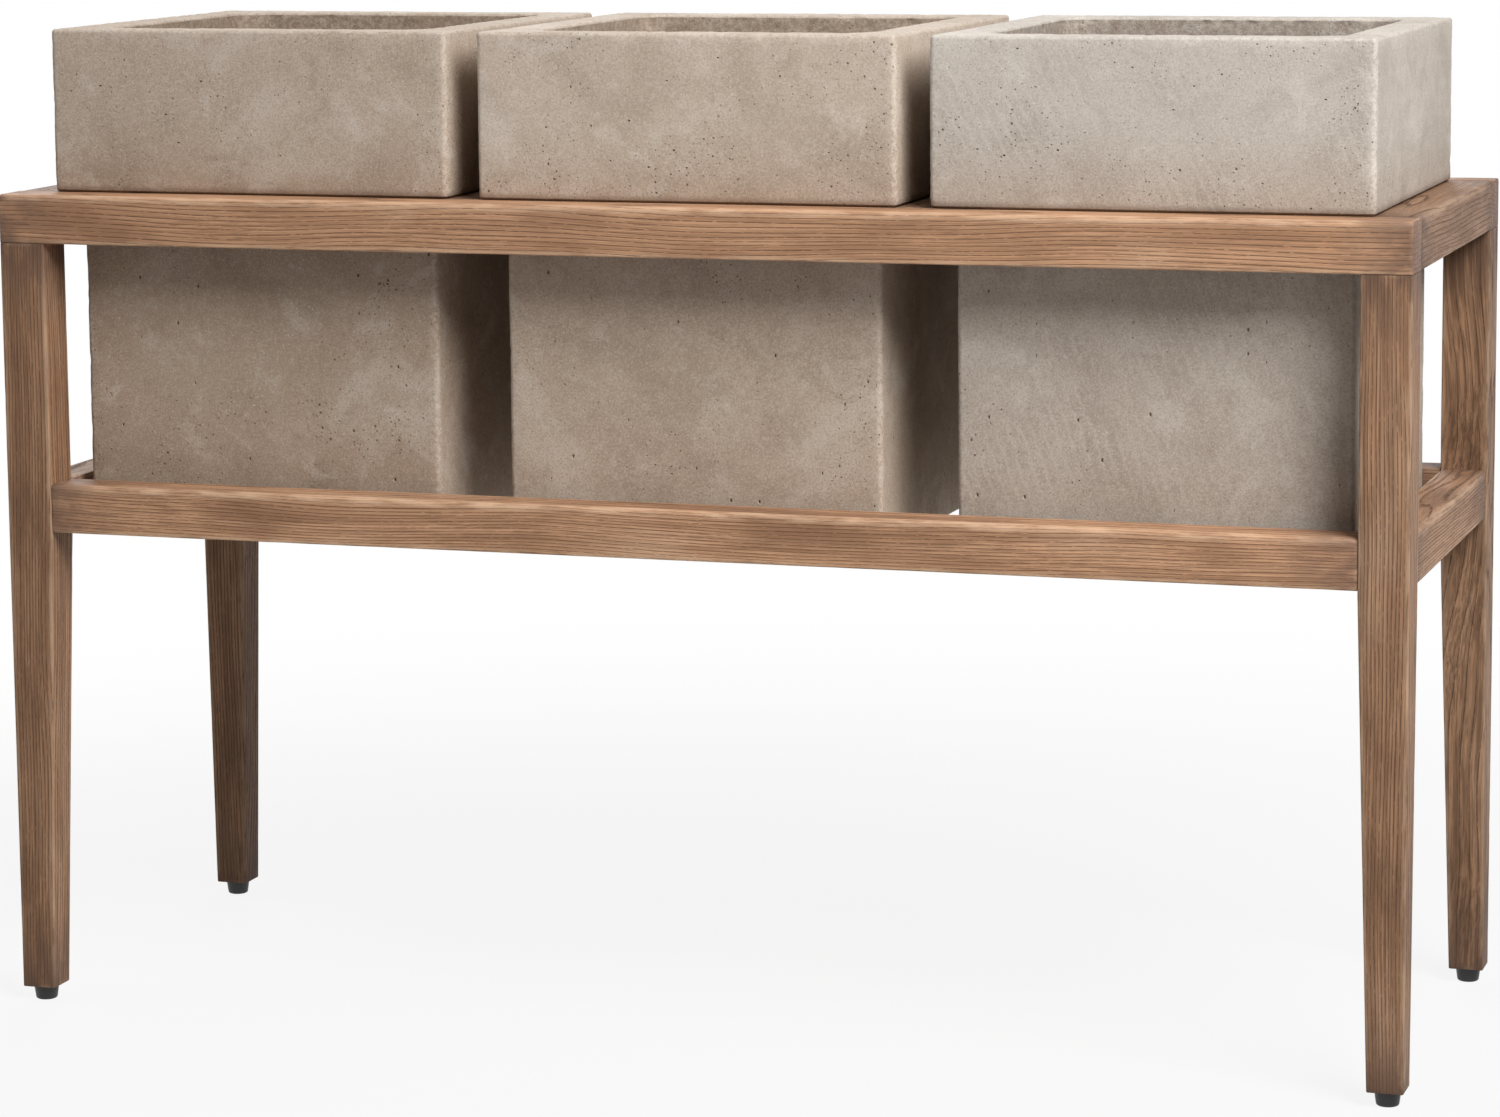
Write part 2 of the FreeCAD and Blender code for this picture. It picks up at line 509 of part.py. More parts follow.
doc.recompute()
for obj in doc.Objects:
    if "Invalid" in obj.State or "Error" in obj.State:
        raise RuntimeError(f"{obj.Label} failed: {obj.State}")
for body in parts:
    if body.Shape.isNull() or not body.Shape.isValid():
        raise RuntimeError(body.Label + " has no valid shape")
os.makedirs("parts", exist_ok=True)
for body in parts:
    body.Shape.exportStep(os.path.join("parts", body.Label + ".step"))
    print(f"{body.Label}: {len(body.Shape.Solids)} solids, {body.Shape.Volume / 1000:.1f} cm3")
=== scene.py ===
import math
import random

import bmesh
import bpy
from mathutils import Euler, Matrix, Vector, noise


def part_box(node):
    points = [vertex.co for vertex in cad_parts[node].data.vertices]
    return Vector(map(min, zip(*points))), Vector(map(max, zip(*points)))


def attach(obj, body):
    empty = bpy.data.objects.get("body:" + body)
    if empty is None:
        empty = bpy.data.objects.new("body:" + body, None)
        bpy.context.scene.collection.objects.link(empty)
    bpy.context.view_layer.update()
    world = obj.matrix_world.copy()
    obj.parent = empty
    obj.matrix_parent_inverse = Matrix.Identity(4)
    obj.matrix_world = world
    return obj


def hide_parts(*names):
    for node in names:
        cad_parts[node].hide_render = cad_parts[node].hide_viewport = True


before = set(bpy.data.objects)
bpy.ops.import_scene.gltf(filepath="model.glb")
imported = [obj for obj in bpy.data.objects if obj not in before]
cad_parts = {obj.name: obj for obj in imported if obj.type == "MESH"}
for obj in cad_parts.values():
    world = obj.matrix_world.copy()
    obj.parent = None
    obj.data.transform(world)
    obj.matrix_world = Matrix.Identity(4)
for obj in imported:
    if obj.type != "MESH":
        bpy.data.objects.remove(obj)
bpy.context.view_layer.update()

bl_info = {
    "name": "Planter on legs",
    "version": (1, 0, 0),
    "blender": (4, 5, 0),
    "location": "View3D > Sidebar > Planter",
    "description": "Cast concrete pots hanging in an oiled wooden stand",
    "category": "Object",
}

MM = 0.001

# A point this near to a plane lies in it, and points nearer to each other than the second value are one point.
TOUCH = 1e-5
SAME_POINT = 1e-6
# Faces that meet at a larger angle than this keep a sharp edge between them.
SHARP_ANGLE = math.radians(50.0)
# Where the random draws of each group of pieces start.
TOP_FRAME_SEED = 11
LOWER_FRAME_SEED = 31
LEG_FIGURE_SEED = 51
LEG_WEAR_SEED = 60
POT_SEED = 71

# Each rail: its node, the way its grain runs, the outer side of its rounded top edge, if any, and its tone.
TOP_RAILS = (
    ("top_front_rail", "X", "-Y", 1.08),
    ("top_back_rail", "X", "+Y", 0.97),
    ("top_left_rail", "Y", "-X", 0.93),
    ("top_right_rail", "Y", "+X", 0.60),
    ("top_cross_rail_left", "Y", None, 0.99),
    ("top_cross_rail_right", "Y", None, 0.95),
)
LOWER_RAILS = (
    ("lower_front_rail", "X", "-Y", 1.18),
    ("lower_back_rail", "X", "+Y", 0.99),
    ("lower_left_rail", "Y", "-X", 0.93),
    ("lower_right_rail", "Y", "+X", 0.82),
)
# Each corner: its name, the side it stands on along X and Y, and the tone of its leg; the back-left leg's tone
# is set darker, partly for its own wood and partly as painted shade.
CORNERS = (
    ("front_left", -1, -1, 0.79),
    ("front_right", 1, -1, 0.75),
    ("back_right", 1, 1, 0.66),
    ("back_left", -1, 1, 0.65),
)
DOWEL_NODES = ("leg_dowels", "end_rail_dowels", "cross_rail_dowels", "lower_rail_dowels")

# The figure of the wood: its share of the ring spacing, of the waviness and of the dark shade's brightness.
TOP_FIGURE = (0.95, 1.0, 1.0)
LOWER_FIGURE = (0.66, 1.0, 0.85)
LEG_FIGURE = (0.68, 0.8, 0.72)
FLAT_SAWN_LEGS = {"back_right": (1.6, 3.2, 0.4)}
# Turns that bring the grain of a piece, which runs along X in the texture, into line with the piece.
GRAIN_TURN = {"X": (0.0, 0.0, 0.0), "Y": (0.0, 0.0, -math.pi / 2), "Z": (0.0, math.pi / 2, 0.0)}
# How far the dirt reaches from the ends of a piece of timber.
END_REACH = 75.0 * MM

# The turned glide: the radii of its foot, of its screw recess and of its screw hole, and the recess's depth.
GLIDE_FOOT = 9.75 * MM
GLIDE_RECESS = 4.55 * MM
GLIDE_SHANK = 2.3 * MM
GLIDE_SEAT = 7.0 * MM
# Its wall stands out over the foot, its lower edge is rounded and drawn in, and its other edges are eased.
GLIDE_FLARE = 0.62 * MM
GLIDE_ROUND = 2.0 * MM
GLIDE_TUCK = 0.3 * MM
GLIDE_TOP_EASE = 0.5 * MM
GLIDE_RECESS_EASE = 0.3 * MM
GLIDE_ROUND_STEPS = 5
GLIDE_TURN_STEPS = 48

# Each pot: its side, the name of its colour and the strength of its trowel marks.
POTS = (("left", "warm", 0.0), ("middle", "mid", 0.0), ("right", "pale", 1.0))
# The body of a pot, below its collar, is a little browner and darker than the collar; the same colour, fading
# out up the foot of the collar, is painted shade there.
BODY_TONE_AND_FOOT_SHADE = (0.88, 0.84, 0.80, 1.0)
# How far the pattern of each pot lies from that of the pot before it.
POT_SHIFT = (0.37, 0.61, 0.23)
# Steps of a pot's outline up its body, up its collar, round a rim edge, over the rim and round the edge of the
# cavity floor, and cuts along each of its sides.
BODY_STEPS = 44
COLLAR_STEPS = 28
RIM_EDGE_STEPS = 6
RIM_STEPS = 7
FLOOR_EDGE_STEPS = 5
SIDE_CUTS = 63
# The corner radius at the outer edge of the rim, as a share of the collar's.
RIM_CORNER = 0.3
# Spacing of the steps down the cavity wall: the first, the widest and how each grows from the one before.
CAVITY_FIRST_STEP = 4.0 * MM
CAVITY_WIDEST_STEP = 14.0 * MM
CAVITY_STEP_GROWTH = 1.045
# Steps over the cavity floor, as shares of its half width, and the corner radius at a full share.
FLOOR_SHARES = (0.75, 0.5, 0.25)
FLOOR_CORNER = 14.0 * MM
# How strongly the parts of a pot's outline are marked as worn edges, and with painted shade under the collar
# and along its foot, where it meets the rail.
EDGE_MARKS = {"edge": 1.0, "rim": 0.8, "band": 0.4}
PAINTED_SHADE_MARKS = {"sole": 0.5, "foot": 0.22}
# The larger air holes: the widths of their mouths, the width of the face that each is cut from, the shortest
# edge of such a face, and the share of the mouth that is cut off at each corner.
AIR_HOLE_WIDTHS = (0.9 * MM, 1.2 * MM, 1.5 * MM, 2.0 * MM)
AIR_HOLE_FACE = 5.2 * MM
AIR_HOLE_LEAST_EDGE = 4.0 * MM
AIR_HOLE_CORNER = 0.29

# How far the floor reaches, and how its shadow fades out: between which distances, from which share of white.
FLOOR_REACH = 60.0
SHADOW_FADE = (0.8, 2.2)
SHADOW_WHITE = 0.88
# Each light: its name, its place, what it points at, its size and its share of the key light's power.
LIGHTS = (
    ("key_light", (2.5, -1.95, 3.1), (0.1, 0.0, 0.6), 2.3, 1.0),
    ("left_fill_light", (-2.4, -3.4, 1.9), (0.0, 0.0, 0.5), 2.6, 0.05),
    ("back_fill_light", (-1.3, 3.5, 2.4), (0.0, 0.0, 0.5), 2.6, 0.28),
    ("top_light", (-1.7, -0.25, 2.8), (0.0, 0.0, 0.9), 1.6, 0.10),
)
WHITE = (1.0, 1.0, 1.0, 1.0)

# Kinds of sockets, and what both shared finishes put out.
VALUE, PLACE, COLOUR = "NodeSocketFloat", "NodeSocketVector", "NodeSocketColor"
FINISH_OUTPUTS = (("Color", COLOUR), ("Roughness", VALUE), ("Height", VALUE))


def length_prop(name, description, default):
    return bpy.props.FloatProperty(name=name, description=description, default=default, min=0.0, unit="LENGTH")


def colour_prop(name, description, default):
    return bpy.props.FloatVectorProperty(name=name, description=description, default=default, size=3, min=0.0,
                                         max=1.0, subtype="COLOR")


def factor_prop(name, description, default):
    return bpy.props.FloatProperty(name=name, description=description, default=default, min=0.0, max=1.0,
                                   subtype="FACTOR")


class TimberSettings(bpy.types.PropertyGroup):
    """The wood of the stand."""
    round_over: length_prop("Round-over", "Radius of the outer top edges of the rails", 4.5 * MM)
    arris: length_prop("Arris", "Radius of the other long edges", 1.5 * MM)
    end_arris: length_prop("End arris", "Radius of the edges at the sawn ends", 1.0 * MM)
    worn_margin: length_prop("Worn margin", "Width of the rubbed strip beside an edge", 3.5 * MM)
    dent: length_prop("Dent", "Deepest knock in an edge", 0.55 * MM)
    station: length_prop("Station", "Spacing of the cross sections along a piece", 14.0 * MM)
    knee: length_prop("Knee", "Height where the taper of the legs starts", 455.0 * MM)
    foot_width: length_prop("Foot width", "Side of a leg at its foot", 33.0 * MM)
    ring_spacing: length_prop("Ring spacing", "Distance between the dark pore lines in the rails", 4.6 * MM)
    light: colour_prop("Light wood", "Colour between the pore lines", (0.52, 0.295, 0.170))
    dark: colour_prop("Dark wood", "Colour along the pore lines", (0.27, 0.142, 0.079))
    pore: colour_prop("Pore", "Colour inside the open pores", (0.060, 0.030, 0.019))
    rubbed: colour_prop("Rubbed wood", "Colour of the worn edges", (0.64, 0.43, 0.285))
    weathered: colour_prop("Weathered wood", "Colour of the sawn ends and dirty joints", (0.155, 0.09, 0.062))
    dowel: colour_prop("Dowel", "Colour of the dowels", (0.56, 0.41, 0.25))


class ConcreteSettings(bpy.types.PropertyGroup):
    """The cast pots."""
    wall: length_prop("Wall", "Wall thickness at the rim", 38.0 * MM)
    floor: length_prop("Floor", "Thickness of the pot floor", 32.0 * MM)
    draw_in: length_prop("Draw-in", "Draught of each cavity wall", 10.0 * MM)
    ledge: length_prop("Ledge", "Collar beyond the body, each side", 20.0 * MM)
    collar_height: length_prop("Collar height", "Height of the collar above the frame", 154.0 * MM)
    collar_corner: length_prop("Collar corner", "Radius of the upright outer corners", 5.0 * MM)
    cavity_corner: length_prop("Cavity corner", "Radius of the upright inner corners", 26.0 * MM)
    rim_round: length_prop("Rim", "Radius of the outer rim edge", 3.5 * MM)
    inner_round: length_prop("Inner rim", "Radius of the inner rim edge", 3.0 * MM)
    lower_round: length_prop("Lower edges", "Radius of the lower collar and body edges", 3.8 * MM)
    floor_round: length_prop("Cavity floor", "Radius between cavity wall and floor", 12.0 * MM)
    # Painted shade: the foot of each collar is painted darker, fading out up to this height.
    painted_foot_shade: length_prop("Foot shade", "Height of the darker zone at the foot of a collar", 80.0 * MM)
    drain_radius: length_prop("Drain", "Radius of the drain hole", 11.0 * MM)
    chip: length_prop("Chip", "Deepest chip along the edges", 1.2 * MM)
    unevenness: length_prop("Unevenness", "Gentle hollows of the cast faces", 0.5 * MM)
    air_holes: bpy.props.IntProperty(name="Air holes", description="Larger air holes modelled in each pot",
                                     default=150, min=0)
    pale: colour_prop("Pale pot", "Colour of the palest pot", (0.512, 0.456, 0.402))
    mid: colour_prop("Middle pot", "Colour of the middle pot", (0.535, 0.440, 0.358))
    warm: colour_prop("Warm pot", "Colour of the warmest pot", (0.465, 0.370, 0.292))


class StageSettings(bpy.types.PropertyGroup):
    """Floor, lights and camera."""
    floor: colour_prop("Floor", "Colour of the floor", (0.50, 0.50, 0.50))
    fill: factor_prop("Fill", "Even light from all round", 0.06)
    key: bpy.props.FloatProperty(name="Key", description="Power of the large light on the right", default=206.0,
                                 min=0.0, unit="POWER")
    lens: bpy.props.FloatProperty(name="Lens", description="Focal length", default=108.013, min=1.0,
                                  unit="CAMERA")
    shift: bpy.props.FloatProperty(name="Shift", description="Upright shift of the lens", default=-0.08)
    place: bpy.props.FloatVectorProperty(name="Camera", description="Place of the camera",
                                         default=(1.3150, -4.0431, 1.1299), size=3, unit="LENGTH")
    heading: bpy.props.FloatVectorProperty(
        name="Aim", description="Turn, downward tilt and lean of the camera",
        default=(math.radians(18.071), math.radians(7.915), math.radians(-0.508)), size=3, unit="ROTATION")


# Shader building


class Graph:
    """Short ways to place and join nodes in one node tree."""

    def __init__(self, tree):
        self.tree = tree

    def put(self, socket, value):
        if isinstance(value, bpy.types.NodeSocket):
            self.tree.links.new(value, socket)
        elif value is not None:
            socket.default_value = value

    def node(self, kind, inputs=(), **settings):
        made = self.tree.nodes.new(kind)
        for name, value in settings.items():
            setattr(made, name, value)
        for name, value in dict(inputs).items():
            self.put(made.inputs[name], value)
        return made

    def math(self, operation, first, second=None, third=None, clamp=False):
        made = self.tree.nodes.new("ShaderNodeMath")
        made.operation = operation
        made.use_clamp = clamp
        for socket, value in zip(made.inputs, (first, second, third)):
            self.put(socket, value)
        return made.outputs[0]

    def times(self, first, second, clamp=False):
        return self.math("MULTIPLY", first, second, clamp=clamp)

    def plus(self, first, second):
        return self.math("ADD", first, second)

    def larger(self, first, second):
        return self.math("MAXIMUM", first, second)

    def vector(self, operation, first, second=None):
        made = self.tree.nodes.new("ShaderNodeVectorMath")
        made.operation = operation
        for socket, value in zip(made.inputs, (first, second)):
            self.put(socket, value)
        return made.outputs["Value" if operation in ("LENGTH", "DOT_PRODUCT", "DISTANCE") else "Vector"]

    def noise(self, vector, scale, detail=3.0, roughness=0.55, distortion=0.0):
        made = self.node("ShaderNodeTexNoise", {"Vector": vector, "Scale": scale, "Detail": detail,
                                                "Roughness": roughness, "Distortion": distortion})
        return made.outputs["Fac"]

    def stretched_noise(self, vector, scales, detail, roughness=0.55):
        """Noise with a scale of its own along each axis."""
        return self.noise(self.vector("MULTIPLY", vector, scales), 1.0, detail, roughness)

    def moved_noise(self, vector, offset, *shape):
        """Noise from another place, so that two patterns don't follow each other."""
        return self.noise(self.vector("ADD", vector, offset), *shape)

    def attribute(self, name):
        """A mark that the points of a mesh carry."""
        return self.node("ShaderNodeAttribute", attribute_name=name).outputs["Fac"]

    def ramp(self, value, low, high, start=0.0, end=1.0):
        """A smooth step of value from low to high, put out from start to end."""
        made = self.node("ShaderNodeMapRange", {"Value": value, "From Min": low, "From Max": high,
                                                "To Min": start, "To Max": end},
                         interpolation_type="SMOOTHSTEP")
        return made.outputs["Result"]

    def mix(self, factor, first, second, blend="MIX"):
        made = self.node("ShaderNodeMix", data_type="RGBA", blend_type=blend)
        self.put(made.inputs["Factor"], factor)
        colours = [s for s in made.inputs if s.type == "RGBA"]
        self.put(colours[0], first)
        self.put(colours[1], second)
        return next(s for s in made.outputs if s.type == "RGBA")


def opaque(colour):
    """A colour with its fourth value, as the sockets take it."""
    return (*colour, 1.0)


def new_group(name, inputs, outputs):
    """A shader node group with named sockets: its graph, its input sockets and its output node."""
    tree = bpy.data.node_groups.new(name, "ShaderNodeTree")
    for label, kind, default in inputs:
        socket = tree.interface.new_socket(label, in_out="INPUT", socket_type=kind)
        if default is not None:
            socket.default_value = default
    for label, kind in outputs:
        tree.interface.new_socket(label, in_out="OUTPUT", socket_type=kind)
    graph = Graph(tree)
    return graph, graph.node("NodeGroupInput").outputs, graph.node("NodeGroupOutput").inputs


def place_group(graph, name, inputs):
    """Place a shared group, give it its values and give back what it puts out."""
    made = graph.node("ShaderNodeGroup", node_tree=bpy.data.node_groups[name])
    for label, value in inputs.items():
        graph.put(made.inputs[label], value)
    return made.outputs


def new_material(name):
    """An empty material with its Principled shader, and the graph to fill."""
    material = bpy.data.materials.new(name)
    material.use_nodes = True
    graph = Graph(material.node_tree)
    shader = material.node_tree.nodes["Principled BSDF"]
    return material, graph, shader


def add_bump(graph, shader, height, distance, strength):
    """Let a height roughen the shader's normal."""
    bump = graph.node("ShaderNodeBump", {"Height": height, "Distance": distance, "Strength": strength})
    graph.put(shader.inputs["Normal"], bump.outputs["Normal"])


def use_finish(graph, shader, finish, gloss, depth, strength):
    """Put a shared finish on a shader, with its gloss and the depth and strength of its relief."""
    graph.put(shader.inputs["Base Color"], finish["Color"])
    graph.put(shader.inputs["Roughness"], finish["Roughness"])
    shader.inputs["Specular IOR Level"].default_value = gloss
    add_bump(graph, shader, finish["Height"], depth, strength)


def make_timber_group():
    """Open-grained wood whose grain runs along X, with growth rings about a distant centre."""
    graph, given, out = new_group(
        "open_grain",
        (("Vector", PLACE, None), ("Worn", VALUE, 0.0), ("End", VALUE, 0.0), ("Sawn", VALUE, 0.0),
         ("Ring Spacing", VALUE, 0.005), ("Figure", VALUE, 1.0), ("Light", COLOUR, None),
         ("Dark", COLOUR, None), ("Pore", COLOUR, None), ("Rubbed", COLOUR, None), ("Weathered", COLOUR, None)),
        FINISH_OUTPUTS)
    place, spacing = given["Vector"], given["Ring Spacing"]
    # The growth rings wander a little along the piece.
    drift = graph.node("ShaderNodeTexNoise", {"Vector": graph.vector("MULTIPLY", place, (1.8, 5.0, 5.0)),
                                              "Scale": 1.0, "Detail": 2.0}).outputs["Color"]
    sway = graph.vector("MULTIPLY", graph.vector("SUBTRACT", drift, (0.5, 0.5, 0.5)), (0.0, 0.036, 0.036))
    figure = graph.node("ShaderNodeCombineXYZ", {"X": 1.0, "Y": given["Figure"], "Z": given["Figure"]})
    bent = graph.vector("ADD", place, graph.vector("MULTIPLY", sway, figure.outputs["Vector"]))
    across = graph.vector("MULTIPLY", bent, (0.0, 1.0, 1.0))
    rings = graph.math("DIVIDE", graph.vector("LENGTH", across), spacing)
    uneven = graph.stretched_noise(bent, (2.0, 60.0, 60.0), 2.0)
    phase = graph.math("FRACT", graph.plus(rings, graph.times(uneven, 1.7)))
    # Open pores stand in rows where a ring starts, and as fine dashes all over.
    from_line = graph.times(phase, spacing)
    line = graph.times(graph.ramp(from_line, 0.0, 0.25 * MM), graph.ramp(from_line, 1.15 * MM, 0.45 * MM))
    early = graph.times(graph.ramp(phase, 0.0, 0.06), graph.ramp(phase, 0.75, 0.12))
    dots = graph.ramp(graph.stretched_noise(bent, (150.0, 420.0, 420.0), 1.0), 0.30, 0.48)
    dashes = graph.ramp(graph.stretched_noise(bent, (60.0, 1300.0, 1300.0), 1.0), 0.58, 0.68)
    pores = graph.larger(graph.times(line, dots), graph.times(dashes, 0.40))
    fibre = graph.stretched_noise(bent, (7.0, 640.0, 640.0), 3.0, 0.7)
    cloud = graph.stretched_noise(place, (5.0, 16.0, 16.0), 3.0)
    streak = graph.stretched_noise(bent, (2.2, 85.0, 85.0), 2.0)
    body = graph.mix(graph.times(early, 0.36), given["Light"], given["Dark"])
    # Each layer: its noise, where it starts and is full, its strength and its shade.
    for layer, start, full, strength, shade in (
            (streak, 0.50, 0.70, 0.45, "Dark"), (streak, 0.46, 0.28, 0.20, "Rubbed"),
            (fibre, 0.38, 0.62, 0.64, "Dark"),
            (cloud, 0.48, 0.68, 0.75, "Dark"), (cloud, 0.46, 0.27, 0.30, "Rubbed")):
        body = graph.mix(graph.ramp(layer, start, full, 0.0, strength), body, given[shade])
    body = graph.mix(graph.times(pores, 0.60), body, given["Pore"])
    # Rubbed edges, dirt towards the ends and dark end grain.
    rub_noise = graph.stretched_noise(place, (30.0, 160.0, 160.0), 3.0)
    rubbed = graph.times(given["Worn"], graph.ramp(rub_noise, 0.30, 0.70, 0.10, 0.65), clamp=True)
    body = graph.mix(rubbed, body, given["Rubbed"])
    dirt_noise = graph.stretched_noise(place, (28.0, 70.0, 70.0), 3.0)
    dirty = graph.times(given["End"], graph.ramp(dirt_noise, 0.30, 0.58, 0.15, 0.90), clamp=True)
    body = graph.mix(dirty, body, given["Weathered"])
    body = graph.mix(graph.times(given["Sawn"], 0.72), body, given["Weathered"])
    graph.put(out["Color"], body)
    graph.put(out["Roughness"], graph.plus(graph.ramp(fibre, 0.3, 0.7, 0.47, 0.58), graph.times(pores, 0.2)))
    graph.put(out["Height"], graph.plus(graph.times(pores, -1.0), graph.times(fibre, 0.35)))


def make_timber_material(name, grain, shift, tone, settings, spacing=1.0, figure=1.0, depth=1.0):
    """Oiled wood for one piece: the way of the grain, the place of the growth centre and a tone of its own."""
    material, graph, shader = new_material(name)
    place = graph.node("ShaderNodeTexCoord")
    mapping = graph.node("ShaderNodeMapping", {"Vector": place.outputs["Object"], "Location": shift,
                                               "Rotation": GRAIN_TURN[grain]})
    axis = {"X": (1, 0, 0), "Y": (0, 1, 0), "Z": (0, 0, 1)}[grain]
    facing = graph.math("ABSOLUTE", graph.vector("DOT_PRODUCT", place.outputs["Normal"], axis))
    shades = {label: opaque(Vector(getattr(settings, label.lower())) * tone * strength)
              for label, strength in (("Light", 1.0), ("Dark", depth), ("Pore", depth), ("Rubbed", 1.0),
                                      ("Weathered", 1.0))}
    wood = place_group(graph, "open_grain", {
        "Vector": mapping.outputs["Vector"], "Ring Spacing": settings.ring_spacing * spacing, "Figure": figure,
        "Worn": graph.attribute("worn"), "End": graph.attribute("near_end"),
        "Sawn": graph.ramp(facing, 0.55, 0.85), **shades})
    use_finish(graph, shader, wood, 0.16, 0.5 * MM, 0.55)
    return material


def make_concrete_group():
    """Cast concrete: clouds, fine sand, air holes painted dark as shade, painted shade under and up the foot of
    the collar, pale grains along the edges, trowel arcs.
    """
    graph, given, out = new_group(
        "cast_concrete",
        (("Vector", PLACE, None), ("Edge", VALUE, 0.0), ("Inside", VALUE, 0.0), ("Painted_Shade", VALUE, 0.0),
         ("Lower", VALUE, 0.0), ("Trowel", VALUE, 0.0), ("Tone", COLOUR, None)),
        FINISH_OUTPUTS)
    place = given["Vector"]

    def shaded(colour, shade):
        """A colour, darkened by a shade."""
        return graph.mix(1.0, colour, shade, "MULTIPLY")

    def spots(scale, radius, share, offset):
        """Round spots at random places: a mask that is 1 in the middle of each."""
        cell = graph.node("ShaderNodeTexVoronoi", {"Vector": graph.vector("ADD", place, offset), "Scale": scale,
                                                   "Randomness": 1.0})
        chance = graph.node("ShaderNodeSeparateColor", {"Color": cell.outputs["Color"]})
        kept = graph.math("GREATER_THAN", chance.outputs["Red"], 1.0 - share)
        reach = graph.math("MULTIPLY_ADD", chance.outputs["Green"], radius * scale * 0.65,
                           radius * scale * 0.35)
        depth = graph.math("SUBTRACT", 1.0, graph.math("DIVIDE", cell.outputs["Distance"], reach), clamp=True)
        return graph.times(kept, graph.ramp(depth, 0.0, 0.45))

    # The body's own browner tone, and painted shade fading up the foot of the collar, both from the Lower mark.
    tone = graph.mix(given["Lower"], given["Tone"], shaded(given["Tone"], BODY_TONE_AND_FOOT_SHADE))
    dark_tone = shaded(tone, (0.72, 0.69, 0.66, 1.0))
    pale_tone = graph.mix(0.36, tone, (0.88, 0.84, 0.77, 1.0))
    clouds = graph.noise(place, 8.0, 4.0, 0.6, 0.8)
    stains = graph.moved_noise(place, (3.1, 1.7, 4.4), 21.0, 4.0, 0.65, 0.5)
    grit = graph.moved_noise(place, (5.2, 6.1, 0.4), 150.0, 3.0, 0.65)
    speckle = graph.moved_noise(place, (2.7, 4.3, 7.9), 500.0, 1.0, 0.6)
    sand = graph.noise(place, 640.0, 2.0, 0.7)
    body = tone
    # Each layer: its noise, then where its dark and its pale parts start and are full, and their strength.
    for layer, dark, pale in (
            (clouds, (0.48, 0.70, 0.55), (0.47, 0.30, 0.55)),
            (stains, (0.52, 0.70, 0.45), (0.46, 0.30, 0.50)),
            (grit, (0.50, 0.70, 0.30), (0.48, 0.28, 0.28)),
            (speckle, (0.50, 0.68, 0.42), (0.48, 0.30, 0.32)),
            (sand, (0.52, 0.72, 0.58), (0.46, 0.28, 0.50))):
        for (start, full, strength), shade in ((dark, dark_tone), (pale, pale_tone)):
            body = graph.mix(graph.ramp(layer, start, full, 0.0, strength), body, shade)
    # Small air holes, crowded in places, painted dark as shade, and painted shade in the modelled holes and
    # under the collar.
    crowd = graph.ramp(graph.moved_noise(place, (1.0, 9.0, 2.0), 13.0, 2.0), 0.42, 0.62, 0.10, 1.0)
    small = graph.larger(spots(215.0, 1.0 * MM, 0.50, (1.2, 2.1, 0.7)),
                         spots(400.0, 0.65 * MM, 0.50, (4.1, 0.9, 2.2)))
    small = graph.larger(small, spots(125.0, 1.5 * MM, 0.40, (0.2, 0.1, 0.3)))
    holes = graph.larger(graph.times(small, crowd), graph.ramp(given["Painted_Shade"], 0.05, 0.5))
    # Pale grains, in patches and along the edges.
    flecks = graph.larger(spots(240.0, 1.2 * MM, 0.30, (2.4, 0.8, 1.9)),
                          spots(420.0, 0.7 * MM, 0.35, (0.3, 5.8, 3.9)))
    patch = graph.ramp(graph.moved_noise(place, (8.0, 3.0, 5.0), 11.0, 2.0), 0.48, 0.66, 0.2, 0.8)
    fleck_mask = graph.times(flecks, graph.larger(patch, given["Edge"]), clamp=True)
    edge_noise = graph.ramp(graph.noise(place, 230.0, 3.0), 0.42, 0.62, 0.0, 0.5)
    body = graph.mix(graph.times(given["Edge"], edge_noise), body, pale_tone)
    body = graph.mix(graph.times(fleck_mask, 0.50), body, (0.78, 0.73, 0.65, 1.0))
    # Arcs that a trowel left.
    lean = graph.node("ShaderNodeMapping", {"Vector": place, "Location": (0.35, 0.0, -0.55)})
    arcs = graph.node("ShaderNodeTexWave", {"Vector": lean.outputs["Vector"], "Scale": 30.0, "Distortion": 3.5,
                                            "Detail": 3.0, "Detail Scale": 2.2},
                      wave_type="RINGS", rings_direction="Y").outputs["Fac"]
    arc_mask = graph.times(graph.times(given["Trowel"], patch), graph.ramp(arcs, 0.6, 1.0, 0.0, 0.3))
    body = graph.mix(arc_mask, body, pale_tone)
    # The pitted inside, and the painted shade in the holes and under the collar.
    rough_inside = graph.noise(place, 190.0, 4.0, 0.75)
    pitted = graph.times(given["Inside"], graph.ramp(rough_inside, 0.36, 0.64, 0.35, 0.95))
    body = graph.mix(pitted, body, shaded(tone, (0.55, 0.50, 0.45, 1.0)))
    # Painted shade: the holes and the underside of the collar are made dark.
    body = graph.mix(graph.times(holes, 0.88), body, shaded(tone, (0.26, 0.22, 0.19, 1.0)))
    graph.put(out["Color"], body)
    graph.put(out["Roughness"], graph.ramp(clouds, 0.3, 0.7, 0.72, 0.88))
    grain = graph.times(graph.plus(sand, grit), graph.math("MULTIPLY_ADD", given["Inside"], 0.6, 0.14))
    relief = graph.plus(graph.times(holes, -1.0), grain)
    relief = graph.plus(relief, graph.times(fleck_mask, 0.18))
    graph.put(out["Height"], relief)


def make_concrete_material(name, tone, trowel, shift):
    """Cast concrete for one pot: its tone, the strength of its trowel marks and its place in the pattern."""
    material, graph, shader = new_material(name)
    place = graph.node("ShaderNodeTexCoord")
    mapping = graph.node("ShaderNodeMapping", {"Vector": place.outputs["Object"], "Location": shift})
    marks = {label: graph.attribute(label.lower()) for label in ("Edge", "Inside", "Painted_Shade", "Lower")}
    cast = place_group(graph, "cast_concrete", {"Vector": mapping.outputs["Vector"], "Tone": opaque(tone),
                                                "Trowel": trowel, **marks})
    use_finish(graph, shader, cast, 0.15, 1.1 * MM, 0.75)
    return material


